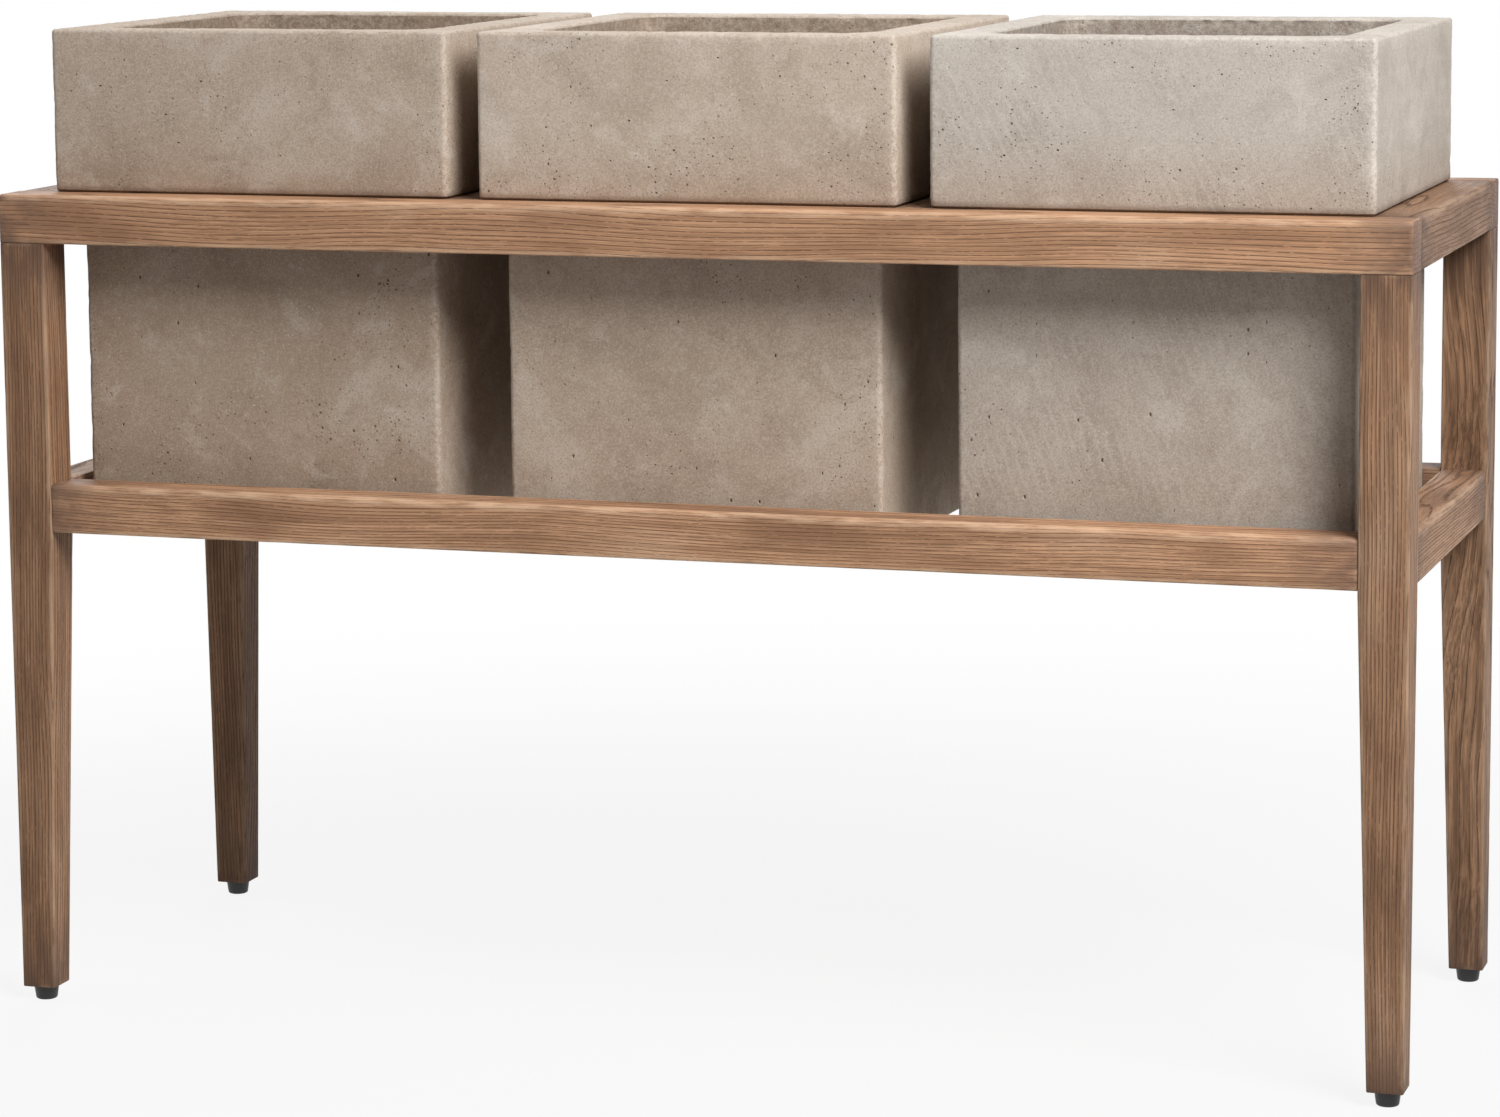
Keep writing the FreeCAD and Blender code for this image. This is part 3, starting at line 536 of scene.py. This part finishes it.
def make_plastic_material(name):
    """Black moulded plastic with a scuffed skin."""
    material, graph, shader = new_material(name)
    place = graph.node("ShaderNodeTexCoord").outputs["Object"]
    scuff = graph.noise(place, 420.0, 4.0, 0.7)
    colour = graph.mix(graph.ramp(scuff, 0.5, 0.75), (0.011, 0.010, 0.010, 1.0), (0.040, 0.037, 0.036, 1.0))
    graph.put(shader.inputs["Base Color"], colour)
    graph.put(shader.inputs["Roughness"], graph.ramp(scuff, 0.35, 0.7, 0.38, 0.62))
    add_bump(graph, shader, scuff, 0.2 * MM, 0.3)
    return material


def make_steel_material(name):
    """Plated steel with fine turning marks."""
    material, graph, shader = new_material(name)
    place = graph.node("ShaderNodeTexCoord").outputs["Object"]
    marks = graph.stretched_noise(place, (300.0, 300.0, 3000.0), 3.0)
    colour = graph.mix(graph.ramp(marks, 0.3, 0.7), (0.48, 0.48, 0.49, 1.0), (0.62, 0.62, 0.60, 1.0))
    graph.put(shader.inputs["Base Color"], colour)
    shader.inputs["Metallic"].default_value = 1.0
    graph.put(shader.inputs["Roughness"], graph.ramp(marks, 0.3, 0.7, 0.28, 0.45))
    return material


# Mesh building


def finish_piece(bm, name, material, body, node):
    """Turn a bmesh into a named object that stands for a node, rides on its body and has its finish."""
    mesh = bpy.data.meshes.new(name)
    bm.to_mesh(mesh)
    bm.free()
    mesh.shade_smooth()
    mesh.set_sharp_from_angle(angle=SHARP_ANGLE)
    mesh.materials.append(material)
    piece = bpy.data.objects.new(name, mesh)
    bpy.context.scene.collection.objects.link(piece)
    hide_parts(node)
    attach(piece, body)
    return piece


def filled_box(low, high):
    """A bmesh box between two corners."""
    bm = bmesh.new()
    made = bmesh.ops.create_cube(bm, size=1.0)["verts"]
    bmesh.ops.scale(bm, vec=high - low, verts=made)
    bmesh.ops.translate(bm, vec=(low + high) / 2, verts=made)
    return bm


def round_edges(bm, edges, radius, segments):
    """Round a set of edges over."""
    bmesh.ops.bevel(bm, geom=edges, offset=radius, offset_type="OFFSET", affect="EDGES", segments=segments,
                    profile=0.5, material=-1, clamp_overlap=True)


def runs_along(edge, axis):
    """True for an edge that runs along an axis, 0 for X to 2 for Z."""
    run = edge.verts[1].co - edge.verts[0].co
    return abs(run[axis]) > 0.9 * run.length


def lies_in(edge, axis, level):
    """True for an edge that lies in the plane across an axis at a level."""
    return all(abs(vert.co[axis] - level) < TOUCH for vert in edge.verts)


def shortest_edge(face):
    """The length of the shortest edge of a face."""
    return min(edge.calc_length() for edge in face.edges)


def mark_and_wear(bm, axis, low, high, settings, seed):
    """Mark the edges and ends of a piece of timber, and knock its edges a little."""
    worn = bm.verts.layers.float.new("worn")
    near_end = bm.verts.layers.float.new("near_end")
    bm.normal_update()
    broad = 2.5 * settings.worn_margin
    flat = {face for face in bm.faces if shortest_edge(face) > broad}
    offset = Vector((seed * 3.7, seed * 1.3, seed * 2.9))
    for vert in bm.verts:
        vert[worn] = 0.0 if any(face in flat for face in vert.link_faces) else 1.0
        from_end = min(vert.co[axis] - low[axis], high[axis] - vert.co[axis])
        vert[near_end] = max(0.0, 1.0 - from_end / END_REACH)
    moves = []
    for vert in bm.verts:
        if vert[worn] > 0.5:
            knock = noise.noise(vert.co * 55.0 + offset) * 0.6 + noise.noise(vert.co * 150.0 + offset) * 0.4
            moves.append((vert, max(0.0, knock - 0.12) * settings.dent))
    for vert, depth in moves:
        vert.co -= vert.normal * depth


def cut_stations(bm, axis, spacing):
    """Cut the long faces of a piece across, at even stations."""
    stretches = {}
    for edge in bm.edges:
        if runs_along(edge, axis) and edge.calc_length() > 3 * spacing:
            middle = (edge.verts[0].co[axis] + edge.verts[1].co[axis]) / 2
            stretches.setdefault(round(middle, 1), []).append(edge)
    for edges in stretches.values():
        cuts = round(max(edge.calc_length() for edge in edges) / spacing)
        bmesh.ops.subdivide_edges(bm, edges=edges, cuts=cuts, use_grid_fill=True)


def rail_mesh(node, grain, outer, settings, seed):
    """A rail with a rounded outer top edge, eased edges and worn arrises."""
    low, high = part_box(node)
    axis = "XYZ".index(grain)
    bm = filled_box(low, high)

    def is_outer_top(edge):
        if not outer:
            return False
        side = "XYZ".index(outer[1])
        level = high[side] if outer[0] == "+" else low[side]
        return lies_in(edge, side, level) and lies_in(edge, 2, high.z)

    eased = [e for e in bm.edges if runs_along(e, axis) and not is_outer_top(e)]
    round_edges(bm, eased, settings.arris, 3)
    if outer:
        top_edge = [e for e in bm.edges if runs_along(e, axis) and is_outer_top(e)]
        round_edges(bm, top_edge, settings.round_over, 6)
    ends = [e for e in bm.edges if lies_in(e, axis, low[axis]) or lies_in(e, axis, high[axis])]
    round_edges(bm, ends, settings.end_arris, 2)
    long_faces = [f for f in bm.faces if abs(f.normal[axis]) < 0.1 and
                  shortest_edge(f) > 3 * settings.worn_margin]
    bmesh.ops.inset_individual(bm, faces=long_faces, thickness=settings.worn_margin, use_even_offset=True)
    cut_stations(bm, axis, settings.station)
    mark_and_wear(bm, axis, low, high, settings, seed)
    return bm


def leg_mesh(node, x_sign, y_sign, settings, seed):
    """A leg, square above, tapered on its two inner faces below the knee."""
    low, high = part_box(node)
    bm = filled_box(low, high)
    bmesh.ops.bisect_plane(bm, geom=bm.verts[:] + bm.edges[:] + bm.faces[:], plane_co=(0, 0, settings.knee),
                           plane_no=(0, 0, 1))
    outer_x = high.x if x_sign > 0 else low.x
    outer_y = high.y if y_sign > 0 else low.y
    for vert in bm.verts:
        if abs(vert.co.z - low.z) < TOUCH:
            if abs(vert.co.x - outer_x) > TOUCH:
                vert.co.x = outer_x - x_sign * settings.foot_width
            if abs(vert.co.y - outer_y) > TOUCH:
                vert.co.y = outer_y - y_sign * settings.foot_width
    round_edges(bm, [e for e in bm.edges if runs_along(e, 2)], settings.arris, 3)
    round_edges(bm, [e for e in bm.edges if lies_in(e, 2, low.z)], settings.end_arris, 2)
    bm.normal_update()
    for axis, sign in ((0, 1), (0, -1), (1, 1), (1, -1)):
        side = [f for f in bm.faces if f.normal[axis] * sign > 0.98 and shortest_edge(f) > 20.0 * MM and
                max(e.calc_length() for e in f.edges) > 100.0 * MM]
        bmesh.ops.inset_region(bm, faces=side, thickness=settings.worn_margin, use_even_offset=True,
                               use_boundary=True)
    cut_stations(bm, 2, settings.station)
    mark_and_wear(bm, 2, low, high, settings, seed)
    return bm


def quarter_turn(first, steps):
    """The angles of a quarter turn in even steps, from the given step on."""
    return [math.pi / 2 * step / steps for step in range(first, steps + 1)]


def glide_mesh(node):
    """A turned glide: tapered wall, rounded lower edge, sunk seat for its screw."""
    low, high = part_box(node)
    centre = (low + high) / 2
    top_radius = (high.x - low.x) / 2
    wall_foot = GLIDE_FOOT + GLIDE_FLARE
    outline = [(GLIDE_SHANK, high.z), (top_radius - GLIDE_TOP_EASE, high.z),
               (top_radius, high.z - GLIDE_TOP_EASE), (wall_foot, low.z + GLIDE_ROUND)]
    for step, turn in enumerate(quarter_turn(1, GLIDE_ROUND_STEPS), 1):
        tuck = GLIDE_TUCK * step / GLIDE_ROUND_STEPS
        outline.append((wall_foot - GLIDE_ROUND * (1 - math.cos(turn)) - tuck,
                        low.z + GLIDE_ROUND * (1 - math.sin(turn))))
    outline += [(GLIDE_RECESS + GLIDE_RECESS_EASE, low.z), (GLIDE_RECESS, low.z + GLIDE_RECESS_EASE),
                (GLIDE_RECESS, low.z + GLIDE_SEAT), (GLIDE_SHANK, low.z + GLIDE_SEAT)]
    bm = bmesh.new()
    ring = [bm.verts.new((centre.x + radius, centre.y, z)) for radius, z in outline]
    edges = [bm.edges.new(pair) for pair in zip(ring, ring[1:] + ring[:1])]
    bmesh.ops.spin(bm, geom=ring + edges, cent=(centre.x, centre.y, 0), axis=(0, 0, 1), dvec=(0, 0, 0),
                   angle=2 * math.pi, steps=GLIDE_TURN_STEPS, use_merge=True)
    bmesh.ops.remove_doubles(bm, verts=bm.verts[:], dist=SAME_POINT)
    bmesh.ops.recalc_face_normals(bm, faces=bm.faces[:])
    return bm


def pot_sections(low, high, settings):
    """The outline of a pot from the drain up the outside, over the rim and down the inside.

    Each section is a height, half a side, a corner radius and what it belongs to."""
    s = settings
    half = (high.x - low.x) / 2
    body, mouth = half - s.ledge, half - s.wall
    shoulder, cavity_floor = high.z - s.collar_height, low.z + s.floor
    corner, lower = s.collar_corner, s.lower_round

    def lower_edge(z, side, parts):
        """A rounded lower edge, from its sole up to the wall, with a part's name for each step."""
        for turn, part in zip(quarter_turn(1, len(parts)), parts):
            inward = lower * (1 - math.sin(turn))
            sections.append((z + lower * (1 - math.cos(turn)), side - inward, corner - inward, part))

    sections = [(low.z, body - lower, corner - lower, "plain")]
    lower_edge(low.z, body, ("edge", "edge", "edge", "edge"))
    for i in range(1, BODY_STEPS + 1):
        sections.append((low.z + lower + (shoulder - low.z - lower) * i / BODY_STEPS, body, corner, "plain"))
    sections.append((shoulder, half - lower, corner - lower, "sole"))
    lower_edge(shoulder, half, ("sole", "sole", "foot", "foot"))
    wall_low, wall_high = shoulder + lower, high.z - s.rim_round
    for i in range(1, COLLAR_STEPS + 1):
        sections.append((wall_low + (wall_high - wall_low) * i / COLLAR_STEPS, half, corner,
                         "plain" if i < COLLAR_STEPS - 1 else "band"))
    for turn in quarter_turn(1, RIM_EDGE_STEPS):
        inward = s.rim_round * (1 - math.cos(turn))
        sections.append((wall_high + s.rim_round * math.sin(turn), half - inward, corner - inward * 0.9,
                         "edge"))
    rim_outer, rim_inner = half - s.rim_round, mouth + s.inner_round
    outer_corner, inner_corner = corner * RIM_CORNER, s.cavity_corner + s.inner_round
    for i in range(1, RIM_STEPS):
        share = i / RIM_STEPS
        sections.append((high.z, rim_outer + (rim_inner - rim_outer) * share,
                         outer_corner + (inner_corner - outer_corner) * share, "rim"))
    for turn in quarter_turn(0, RIM_EDGE_STEPS)[:-1]:
        outward = s.inner_round * (1 - math.sin(turn))
        sections.append((high.z - s.inner_round * (1 - math.cos(turn)), mouth + outward,
                         s.cavity_corner + outward, "edge"))

    def wall_at(z):
        return mouth - s.draw_in * (high.z - z) / (high.z - cavity_floor)

    z, step = high.z - s.inner_round, CAVITY_FIRST_STEP
    while z > cavity_floor + s.floor_round:
        sections.append((z, wall_at(z), s.cavity_corner, "inside"))
        z -= step
        step = min(step * CAVITY_STEP_GROWTH, CAVITY_WIDEST_STEP)
    foot = wall_at(cavity_floor + s.floor_round)
    for turn in quarter_turn(0, FLOOR_EDGE_STEPS):
        inward = s.floor_round * (1 - math.cos(turn))
        sections.append((cavity_floor + s.floor_round * (1 - math.sin(turn)), foot - inward,
                         s.cavity_corner - inward, "inside"))
    for share in FLOOR_SHARES:
        sections.append((cavity_floor, (foot - s.floor_round) * share, FLOOR_CORNER * share, "inside"))
    return sections, cavity_floor


def pot_form(low, high, settings):
    """The clean form of a pot, drawn as one run of sections from the drain round to the drain."""
    centre = (low + high) / 2
    sections, cavity_floor = pot_sections(low, high, settings)
    shoulder = high.z - settings.collar_height
    bm = bmesh.new()
    base_half, base_corner = settings.wall, 0.25 * settings.wall
    bmesh.ops.create_grid(bm, x_segments=1, y_segments=1, size=base_half)
    bmesh.ops.bevel(bm, geom=bm.verts[:], offset=base_corner, offset_type="OFFSET", affect="VERTICES",
                    segments=6, profile=0.5, material=-1)
    sides = [e for e in bm.edges if e.calc_length() > base_corner]
    bmesh.ops.subdivide_edges(bm, edges=sides, cuts=SIDE_CUTS)
    bmesh.ops.delete(bm, geom=bm.faces[:], context="FACES_ONLY")
    edge_mark, inside_mark, body_tone_and_foot_shade_mark, painted_shade_mark = (
        bm.verts.layers.float.new(name) for name in ("edge", "inside", "lower", "painted_shade"))
    index = bm.verts.layers.int.new("outline_place")
    outline = []
    core = base_half - base_corner
    for i, vert in enumerate(bm.verts):
        inner = Vector((max(-core, min(core, vert.co.x)), max(-core, min(core, vert.co.y))))
        outward = Vector((vert.co.x, vert.co.y)) - inner
        outline.append((inner / core, outward.normalized()))
        vert[index] = i

    def set_section(verts, z, place, part):
        """Bring the points of one section to their place, and mark them."""
        for vert in verts:
            spot = place(*outline[vert[index]])
            vert.co = (centre.x + spot.x, centre.y + spot.y, z)
            vert[edge_mark] = EDGE_MARKS.get(part, 0.0)
            # Painted shade under the collar and along its foot.
            vert[painted_shade_mark] = PAINTED_SHADE_MARKS.get(part, 0.0)
            vert[inside_mark] = 1.0 if part == "inside" else 0.0
            # 1 on the body, fading to 0 up the foot of the collar, where it is painted shade.
            vert[body_tone_and_foot_shade_mark] = min(1.0, max(0.0, 1.0 - (z - shoulder) / settings.painted_foot_shade))

    def grow(ring):
        """Extrude a ring of edges and give back the new ring."""
        made = bmesh.ops.extrude_edge_only(bm, edges=ring)["geom"]
        return [g for g in made if isinstance(g, bmesh.types.BMEdge)]

    def round_hole(inner, outward):
        return (inner + outward * 0.5).normalized() * settings.drain_radius

    ring = bm.edges[:]
    set_section(bm.verts[:], low.z, round_hole, "plain")
    for z, half, corner, part in sections:
        ring = grow(ring)
        set_section({v for e in ring for v in e.verts}, z,
                    lambda inner, outward, h=half, c=corner: inner * (h - c) + outward * c, part)
    for z in (cavity_floor, low.z):
        ring = grow(ring)
        set_section({v for e in ring for v in e.verts}, z, round_hole, "inside")
    bmesh.ops.remove_doubles(bm, verts=bm.verts[:], dist=SAME_POINT)
    bmesh.ops.recalc_face_normals(bm, faces=bm.faces[:])
    bm.verts.layers.int.remove(bm.verts.layers.int["outline_place"])
    mark_corners(bm, low, high, settings)
    return bm


def mark_corners(bm, low, high, settings):
    """Mark the upright outer corners of the collar and the body as edges."""
    edge_mark, inside_mark = bm.verts.layers.float["edge"], bm.verts.layers.float["inside"]
    centre = (low + high) / 2
    half = (high.x - low.x) / 2
    for vert in bm.verts:
        if vert[inside_mark] < 0.5:
            x, y = abs(vert.co.x - centre.x), abs(vert.co.y - centre.y)
            on_collar = vert.co.z > high.z - settings.collar_height - TOUCH
            side = half if on_collar else half - settings.ledge
            to_corner = math.hypot(side - x, side - y) / (1.3 * settings.collar_corner)
            vert[edge_mark] = max(vert[edge_mark], min(1.0, max(0.0, 1.5 - to_corner)))


def weather_pot(bm, settings, seed):
    """Uneven faces, chipped edges and rough inner walls; every move goes into the concrete."""
    edge_mark, inside_mark = bm.verts.layers.float["edge"], bm.verts.layers.float["inside"]
    offset = Vector((seed * 5.3, seed * 2.1, seed * 7.7))
    bm.normal_update()
    moves = []
    for vert in bm.verts:
        spot = vert.co + offset
        depth = settings.unevenness * (0.5 + 0.5 * noise.noise(spot * 11.0))
        crumbs = max(0.0, noise.noise(spot * 95.0) - 0.08) + 0.6 * max(0.0, noise.noise(spot * 210.0) - 0.1)
        depth += vert[edge_mark] * settings.chip * crumbs
        if vert[inside_mark] > 0.5:
            depth += 1.5 * MM * max(0.0, noise.noise(spot * 70.0))
            depth += 0.8 * MM * max(0.0, noise.noise(spot * 170.0))
        moves.append((vert, vert.normal * depth))
    for vert, move in moves:
        vert.co -= move


def punch_air_holes(bm, centre, settings, seed):
    """Larger air holes sunk into the outer faces, each from one small face with its corners cut off."""

    def round_the_pot(face):
        """The order of the faces, upwards and round, which is the same in every run."""
        middle = face.calc_center_median()
        return round(middle.z / MM), math.atan2(middle.y - centre.y, middle.x - centre.x)

    hole_mark = bm.faces.layers.int.new("hole")
    inside_mark, painted_shade_mark = bm.verts.layers.float["inside"], bm.verts.layers.float["painted_shade"]
    draw = random.Random(seed)
    plain = [f for f in bm.faces if all(v[inside_mark] < 0.5 for v in f.verts) and abs(f.normal.z) < 0.4
             and shortest_edge(f) > AIR_HOLE_LEAST_EDGE]
    plain.sort(key=round_the_pot)
    taken = set()
    apart = []
    for face in draw.sample(plain, settings.air_holes):
        ring = {f for v in face.verts for f in v.link_faces}
        if not ring & taken:
            taken |= ring
            apart.append(face)
    for batch, width in enumerate(AIR_HOLE_WIDTHS, 1):
        faces = apart[batch - 1::len(AIR_HOLE_WIDTHS)]
        bmesh.ops.inset_individual(bm, faces=faces, thickness=(AIR_HOLE_FACE - width) / 2, use_even_offset=True)
        for face in faces:
            face[hole_mark] = batch
        corners = list(dict.fromkeys(v for f in faces for v in f.verts))
        bmesh.ops.bevel(bm, geom=corners, offset=AIR_HOLE_CORNER * width, offset_type="OFFSET",
                        affect="VERTICES", segments=1, profile=0.5, material=-1)
        mouths = [f for f in bm.faces if f[hole_mark] == batch and len(f.verts) == 8]
        # The bottom of each hole is marked for painted shade.
        for vert in bmesh.ops.poke(bm, faces=mouths, offset=-width)["verts"]:
            vert[painted_shade_mark] = 1.0
    bm.faces.layers.int.remove(hole_mark)


# Stage building


def seen_directly(graph):
    """1 for camera, mirror and see-through rays, 0 for the rays that light the scene."""
    path = graph.node("ShaderNodeLightPath").outputs
    seen = graph.larger(path["Is Camera Ray"], path["Is Glossy Ray"])
    return graph.larger(seen, path["Is Transmission Ray"])


def make_floor(settings):
    """A wide pale floor that looks white from the camera and still takes the object's shadow."""
    bm = bmesh.new()
    bmesh.ops.create_grid(bm, x_segments=1, y_segments=1, size=FLOOR_REACH)
    mesh = bpy.data.meshes.new("floor")
    bm.to_mesh(mesh)
    bm.free()
    floor = bpy.data.objects.new("floor", mesh)
    bpy.context.scene.collection.objects.link(floor)
    material, graph, shader = new_material("pale_floor")
    shader.inputs["Base Color"].default_value = opaque(settings.floor)
    shader.inputs["Roughness"].default_value = 0.9
    shader.inputs["Specular IOR Level"].default_value = 0.0
    white = graph.node("ShaderNodeEmission", {"Color": WHITE, "Strength": 1.0})
    place = graph.node("ShaderNodeTexCoord").outputs["Object"]
    share = graph.ramp(graph.vector("LENGTH", place), *SHADOW_FADE, SHADOW_WHITE, 1.0)
    blend = graph.node("ShaderNodeMixShader", {"Fac": graph.times(seen_directly(graph), share)})
    graph.put(blend.inputs[1], shader.outputs["BSDF"])
    graph.put(blend.inputs[2], white.outputs["Emission"])
    graph.put(material.node_tree.nodes["Material Output"].inputs["Surface"], blend.outputs["Shader"])
    mesh.materials.append(material)


def make_surroundings(settings):
    """White surroundings to look at, which light the object only by the even fill."""
    world = bpy.data.worlds.new("studio")
    world.use_nodes = True
    graph = Graph(world.node_tree)
    background = world.node_tree.nodes["Background"]
    background.inputs["Color"].default_value = WHITE
    strength = graph.math("MULTIPLY_ADD", seen_directly(graph), 1.0 - settings.fill, settings.fill)
    graph.put(background.inputs["Strength"], strength)
    bpy.context.scene.world = world


def make_light(name, place, target, size, power):
    """A round soft light that points at a target."""
    light = bpy.data.lights.new(name, "AREA")
    light.shape = "DISK"
    light.size = size
    light.energy = power
    lamp = bpy.data.objects.new(name, light)
    lamp.location = place
    lamp.rotation_euler = (Vector(target) - Vector(place)).to_track_quat("-Z", "Y").to_euler()
    bpy.context.scene.collection.objects.link(lamp)


def make_camera(scene, settings):
    """The camera at its place, turned, tilted down and leant."""
    data = bpy.data.cameras.new("camera")
    data.lens = settings.lens
    data.shift_y = settings.shift
    camera = bpy.data.objects.new("camera", data)
    turn, tilt, lean = settings.heading
    aim = (Matrix.Rotation(turn, 4, "Z") @ Matrix.Rotation(math.pi / 2 - tilt, 4, "X") @
           Matrix.Rotation(lean, 4, "Z"))
    camera.matrix_world = Matrix.Translation(settings.place) @ aim
    scene.collection.objects.link(camera)
    scene.camera = camera


# Operators


class PLANTER_OT_finishes(bpy.types.Operator):
    """Make the shared grain and concrete groups, and finish the hidden dowels and screws"""
    bl_idname = "planter.finishes"
    bl_label = "Finishes and hidden fixings"

    def execute(self, context):
        make_timber_group()
        make_concrete_group()
        settings = context.scene.planter_timber
        plain = make_timber_material("dowel_wood", "X", (0.1, 0.2, 0.3), 1.0, settings)
        for group in (n for n in plain.node_tree.nodes if n.type == "GROUP"):
            group.inputs["Light"].default_value = opaque(settings.dowel)
            group.inputs["Dark"].default_value = opaque(Vector(settings.dowel) * 0.8)
        steel = make_steel_material("screw_steel")
        for node, material in [(n, plain) for n in DOWEL_NODES] + [("glide_screws", steel)]:
            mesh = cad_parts[node].data
            mesh.materials.clear()
            mesh.materials.append(material)
        return {"FINISHED"}


def growth_centre(node, grain, along, side, up):
    """The shift that puts the growth centre of a piece beside and above its middle."""
    low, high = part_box(node)
    middle = Euler(GRAIN_TURN[grain]).to_matrix() @ ((low + high) / 2)
    return along, side - middle.y, up - middle.z


def build_rails(rails, figure, settings, seed):
    """Rails with one material each, so that no two show the same figure."""
    draw = random.Random(seed)
    for i, (node, grain, outer, tone) in enumerate(rails):
        shift = growth_centre(node, grain, draw.uniform(-3, 3), draw.uniform(-0.10, 0.10),
                              draw.uniform(0.20, 0.30) * draw.choice((-1, 1)))
        material = make_timber_material(node + "_wood", grain, shift, tone, settings, *figure)
        bm = rail_mesh(node, grain, outer, settings, seed + i)
        finish_piece(bm, node + "_timber", material, "stand", node)


class PLANTER_OT_top_frame(bpy.types.Operator):
    """Build the rails that carry the pots"""
    bl_idname = "planter.top_frame"
    bl_label = "Top frame"

    def execute(self, context):
        build_rails(TOP_RAILS, TOP_FIGURE, context.scene.planter_timber, TOP_FRAME_SEED)
        return {"FINISHED"}


class PLANTER_OT_lower_frame(bpy.types.Operator):
    """Build the rails between the legs"""
    bl_idname = "planter.lower_frame"
    bl_label = "Lower frame"

    def execute(self, context):
        build_rails(LOWER_RAILS, LOWER_FIGURE, context.scene.planter_timber, LOWER_FRAME_SEED)
        return {"FINISHED"}


class PLANTER_OT_legs(bpy.types.Operator):
    """Build the tapered legs"""
    bl_idname = "planter.legs"
    bl_label = "Legs"

    def execute(self, context):
        settings = context.scene.planter_timber
        draw = random.Random(LEG_FIGURE_SEED)
        for i, (corner, x_sign, y_sign, tone) in enumerate(CORNERS):
            node = "leg_" + corner
            shift = growth_centre(node, "Z", draw.uniform(-3, 3), draw.uniform(0.05, 0.10),
                                  draw.uniform(0.10, 0.18))
            figure = FLAT_SAWN_LEGS.get(corner, LEG_FIGURE)
            material = make_timber_material(node + "_wood", "Z", shift, tone, settings, *figure)
            bm = leg_mesh(node, x_sign, y_sign, settings, LEG_WEAR_SEED + i)
            finish_piece(bm, node + "_timber", material, "stand", node)
        return {"FINISHED"}


class PLANTER_OT_glides(bpy.types.Operator):
    """Build the turned glides under the legs"""
    bl_idname = "planter.glides"
    bl_label = "Glides"

    def execute(self, context):
        material = make_plastic_material("glide_plastic")
        for corner, *rest in CORNERS:
            node = "glide_" + corner
            finish_piece(glide_mesh(node), node + "_moulded", material, "stand", node)
        return {"FINISHED"}


class PLANTER_OT_pots(bpy.types.Operator):
    """Build the cast concrete pots"""
    bl_idname = "planter.pots"
    bl_label = "Pots"

    def execute(self, context):
        settings = context.scene.planter_concrete
        low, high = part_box("pot_middle")
        form = pot_form(low, high, settings)
        for i, (side, tone, trowel) in enumerate(POTS):
            node = "pot_" + side
            material = make_concrete_material(node + "_concrete", getattr(settings, tone), trowel,
                                              [step * i for step in POT_SHIFT])
            bm = form.copy()
            node_low, node_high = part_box(node)
            bmesh.ops.translate(bm, vec=node_low - low, verts=bm.verts[:])
            weather_pot(bm, settings, POT_SEED + i)
            punch_air_holes(bm, (node_low + node_high) / 2, settings, POT_SEED + i)
            finish_piece(bm, node + "_cast", material, side + "_pot", node)
        form.free()
        return {"FINISHED"}


class PLANTER_OT_stage(bpy.types.Operator):
    """Set up the floor, the lights, the white surroundings and the camera"""
    bl_idname = "planter.stage"
    bl_label = "Stage"

    def execute(self, context):
        settings = context.scene.planter_stage
        make_floor(settings)
        make_surroundings(settings)
        for name, place, target, size, share in LIGHTS:
            make_light(name, place, target, size, share * settings.key)
        make_camera(context.scene, settings)
        context.scene.view_settings.view_transform = "Standard"
        return {"FINISHED"}


class PLANTER_PT_panel(bpy.types.Panel):
    """The steps that build the planter, in order"""
    bl_idname = "PLANTER_PT_panel"
    bl_label = "Planter on legs"
    bl_space_type = "VIEW_3D"
    bl_region_type = "UI"
    bl_category = "Planter"

    def draw(self, context):
        column = self.layout.column(align=True)
        for step in STEPS:
            column.operator(step.bl_idname)
        scene = context.scene
        for settings in (scene.planter_timber, scene.planter_concrete, scene.planter_stage):
            box = self.layout.box()
            for name in settings.bl_rna.properties.keys():
                if name not in ("rna_type", "name"):
                    box.prop(settings, name)


STEPS = (PLANTER_OT_finishes, PLANTER_OT_top_frame, PLANTER_OT_lower_frame, PLANTER_OT_legs, PLANTER_OT_glides,
         PLANTER_OT_pots, PLANTER_OT_stage)
CLASSES = (TimberSettings, ConcreteSettings, StageSettings, *STEPS, PLANTER_PT_panel)


def register():
    for cls in CLASSES:
        bpy.utils.register_class(cls)
    bpy.types.Scene.planter_timber = bpy.props.PointerProperty(type=TimberSettings)
    bpy.types.Scene.planter_concrete = bpy.props.PointerProperty(type=ConcreteSettings)
    bpy.types.Scene.planter_stage = bpy.props.PointerProperty(type=StageSettings)


def unregister():
    del bpy.types.Scene.planter_stage
    del bpy.types.Scene.planter_concrete
    del bpy.types.Scene.planter_timber
    for cls in reversed(CLASSES):
        bpy.utils.unregister_class(cls)


def main():
    """Build the planter and its stage."""
    register()
    bpy.ops.planter.finishes()
    bpy.ops.planter.top_frame()
    bpy.ops.planter.lower_frame()
    bpy.ops.planter.legs()
    bpy.ops.planter.glides()
    bpy.ops.planter.pots()
    bpy.ops.planter.stage()
    bpy.context.view_layer.update()


if __name__ == "__main__":
    main()
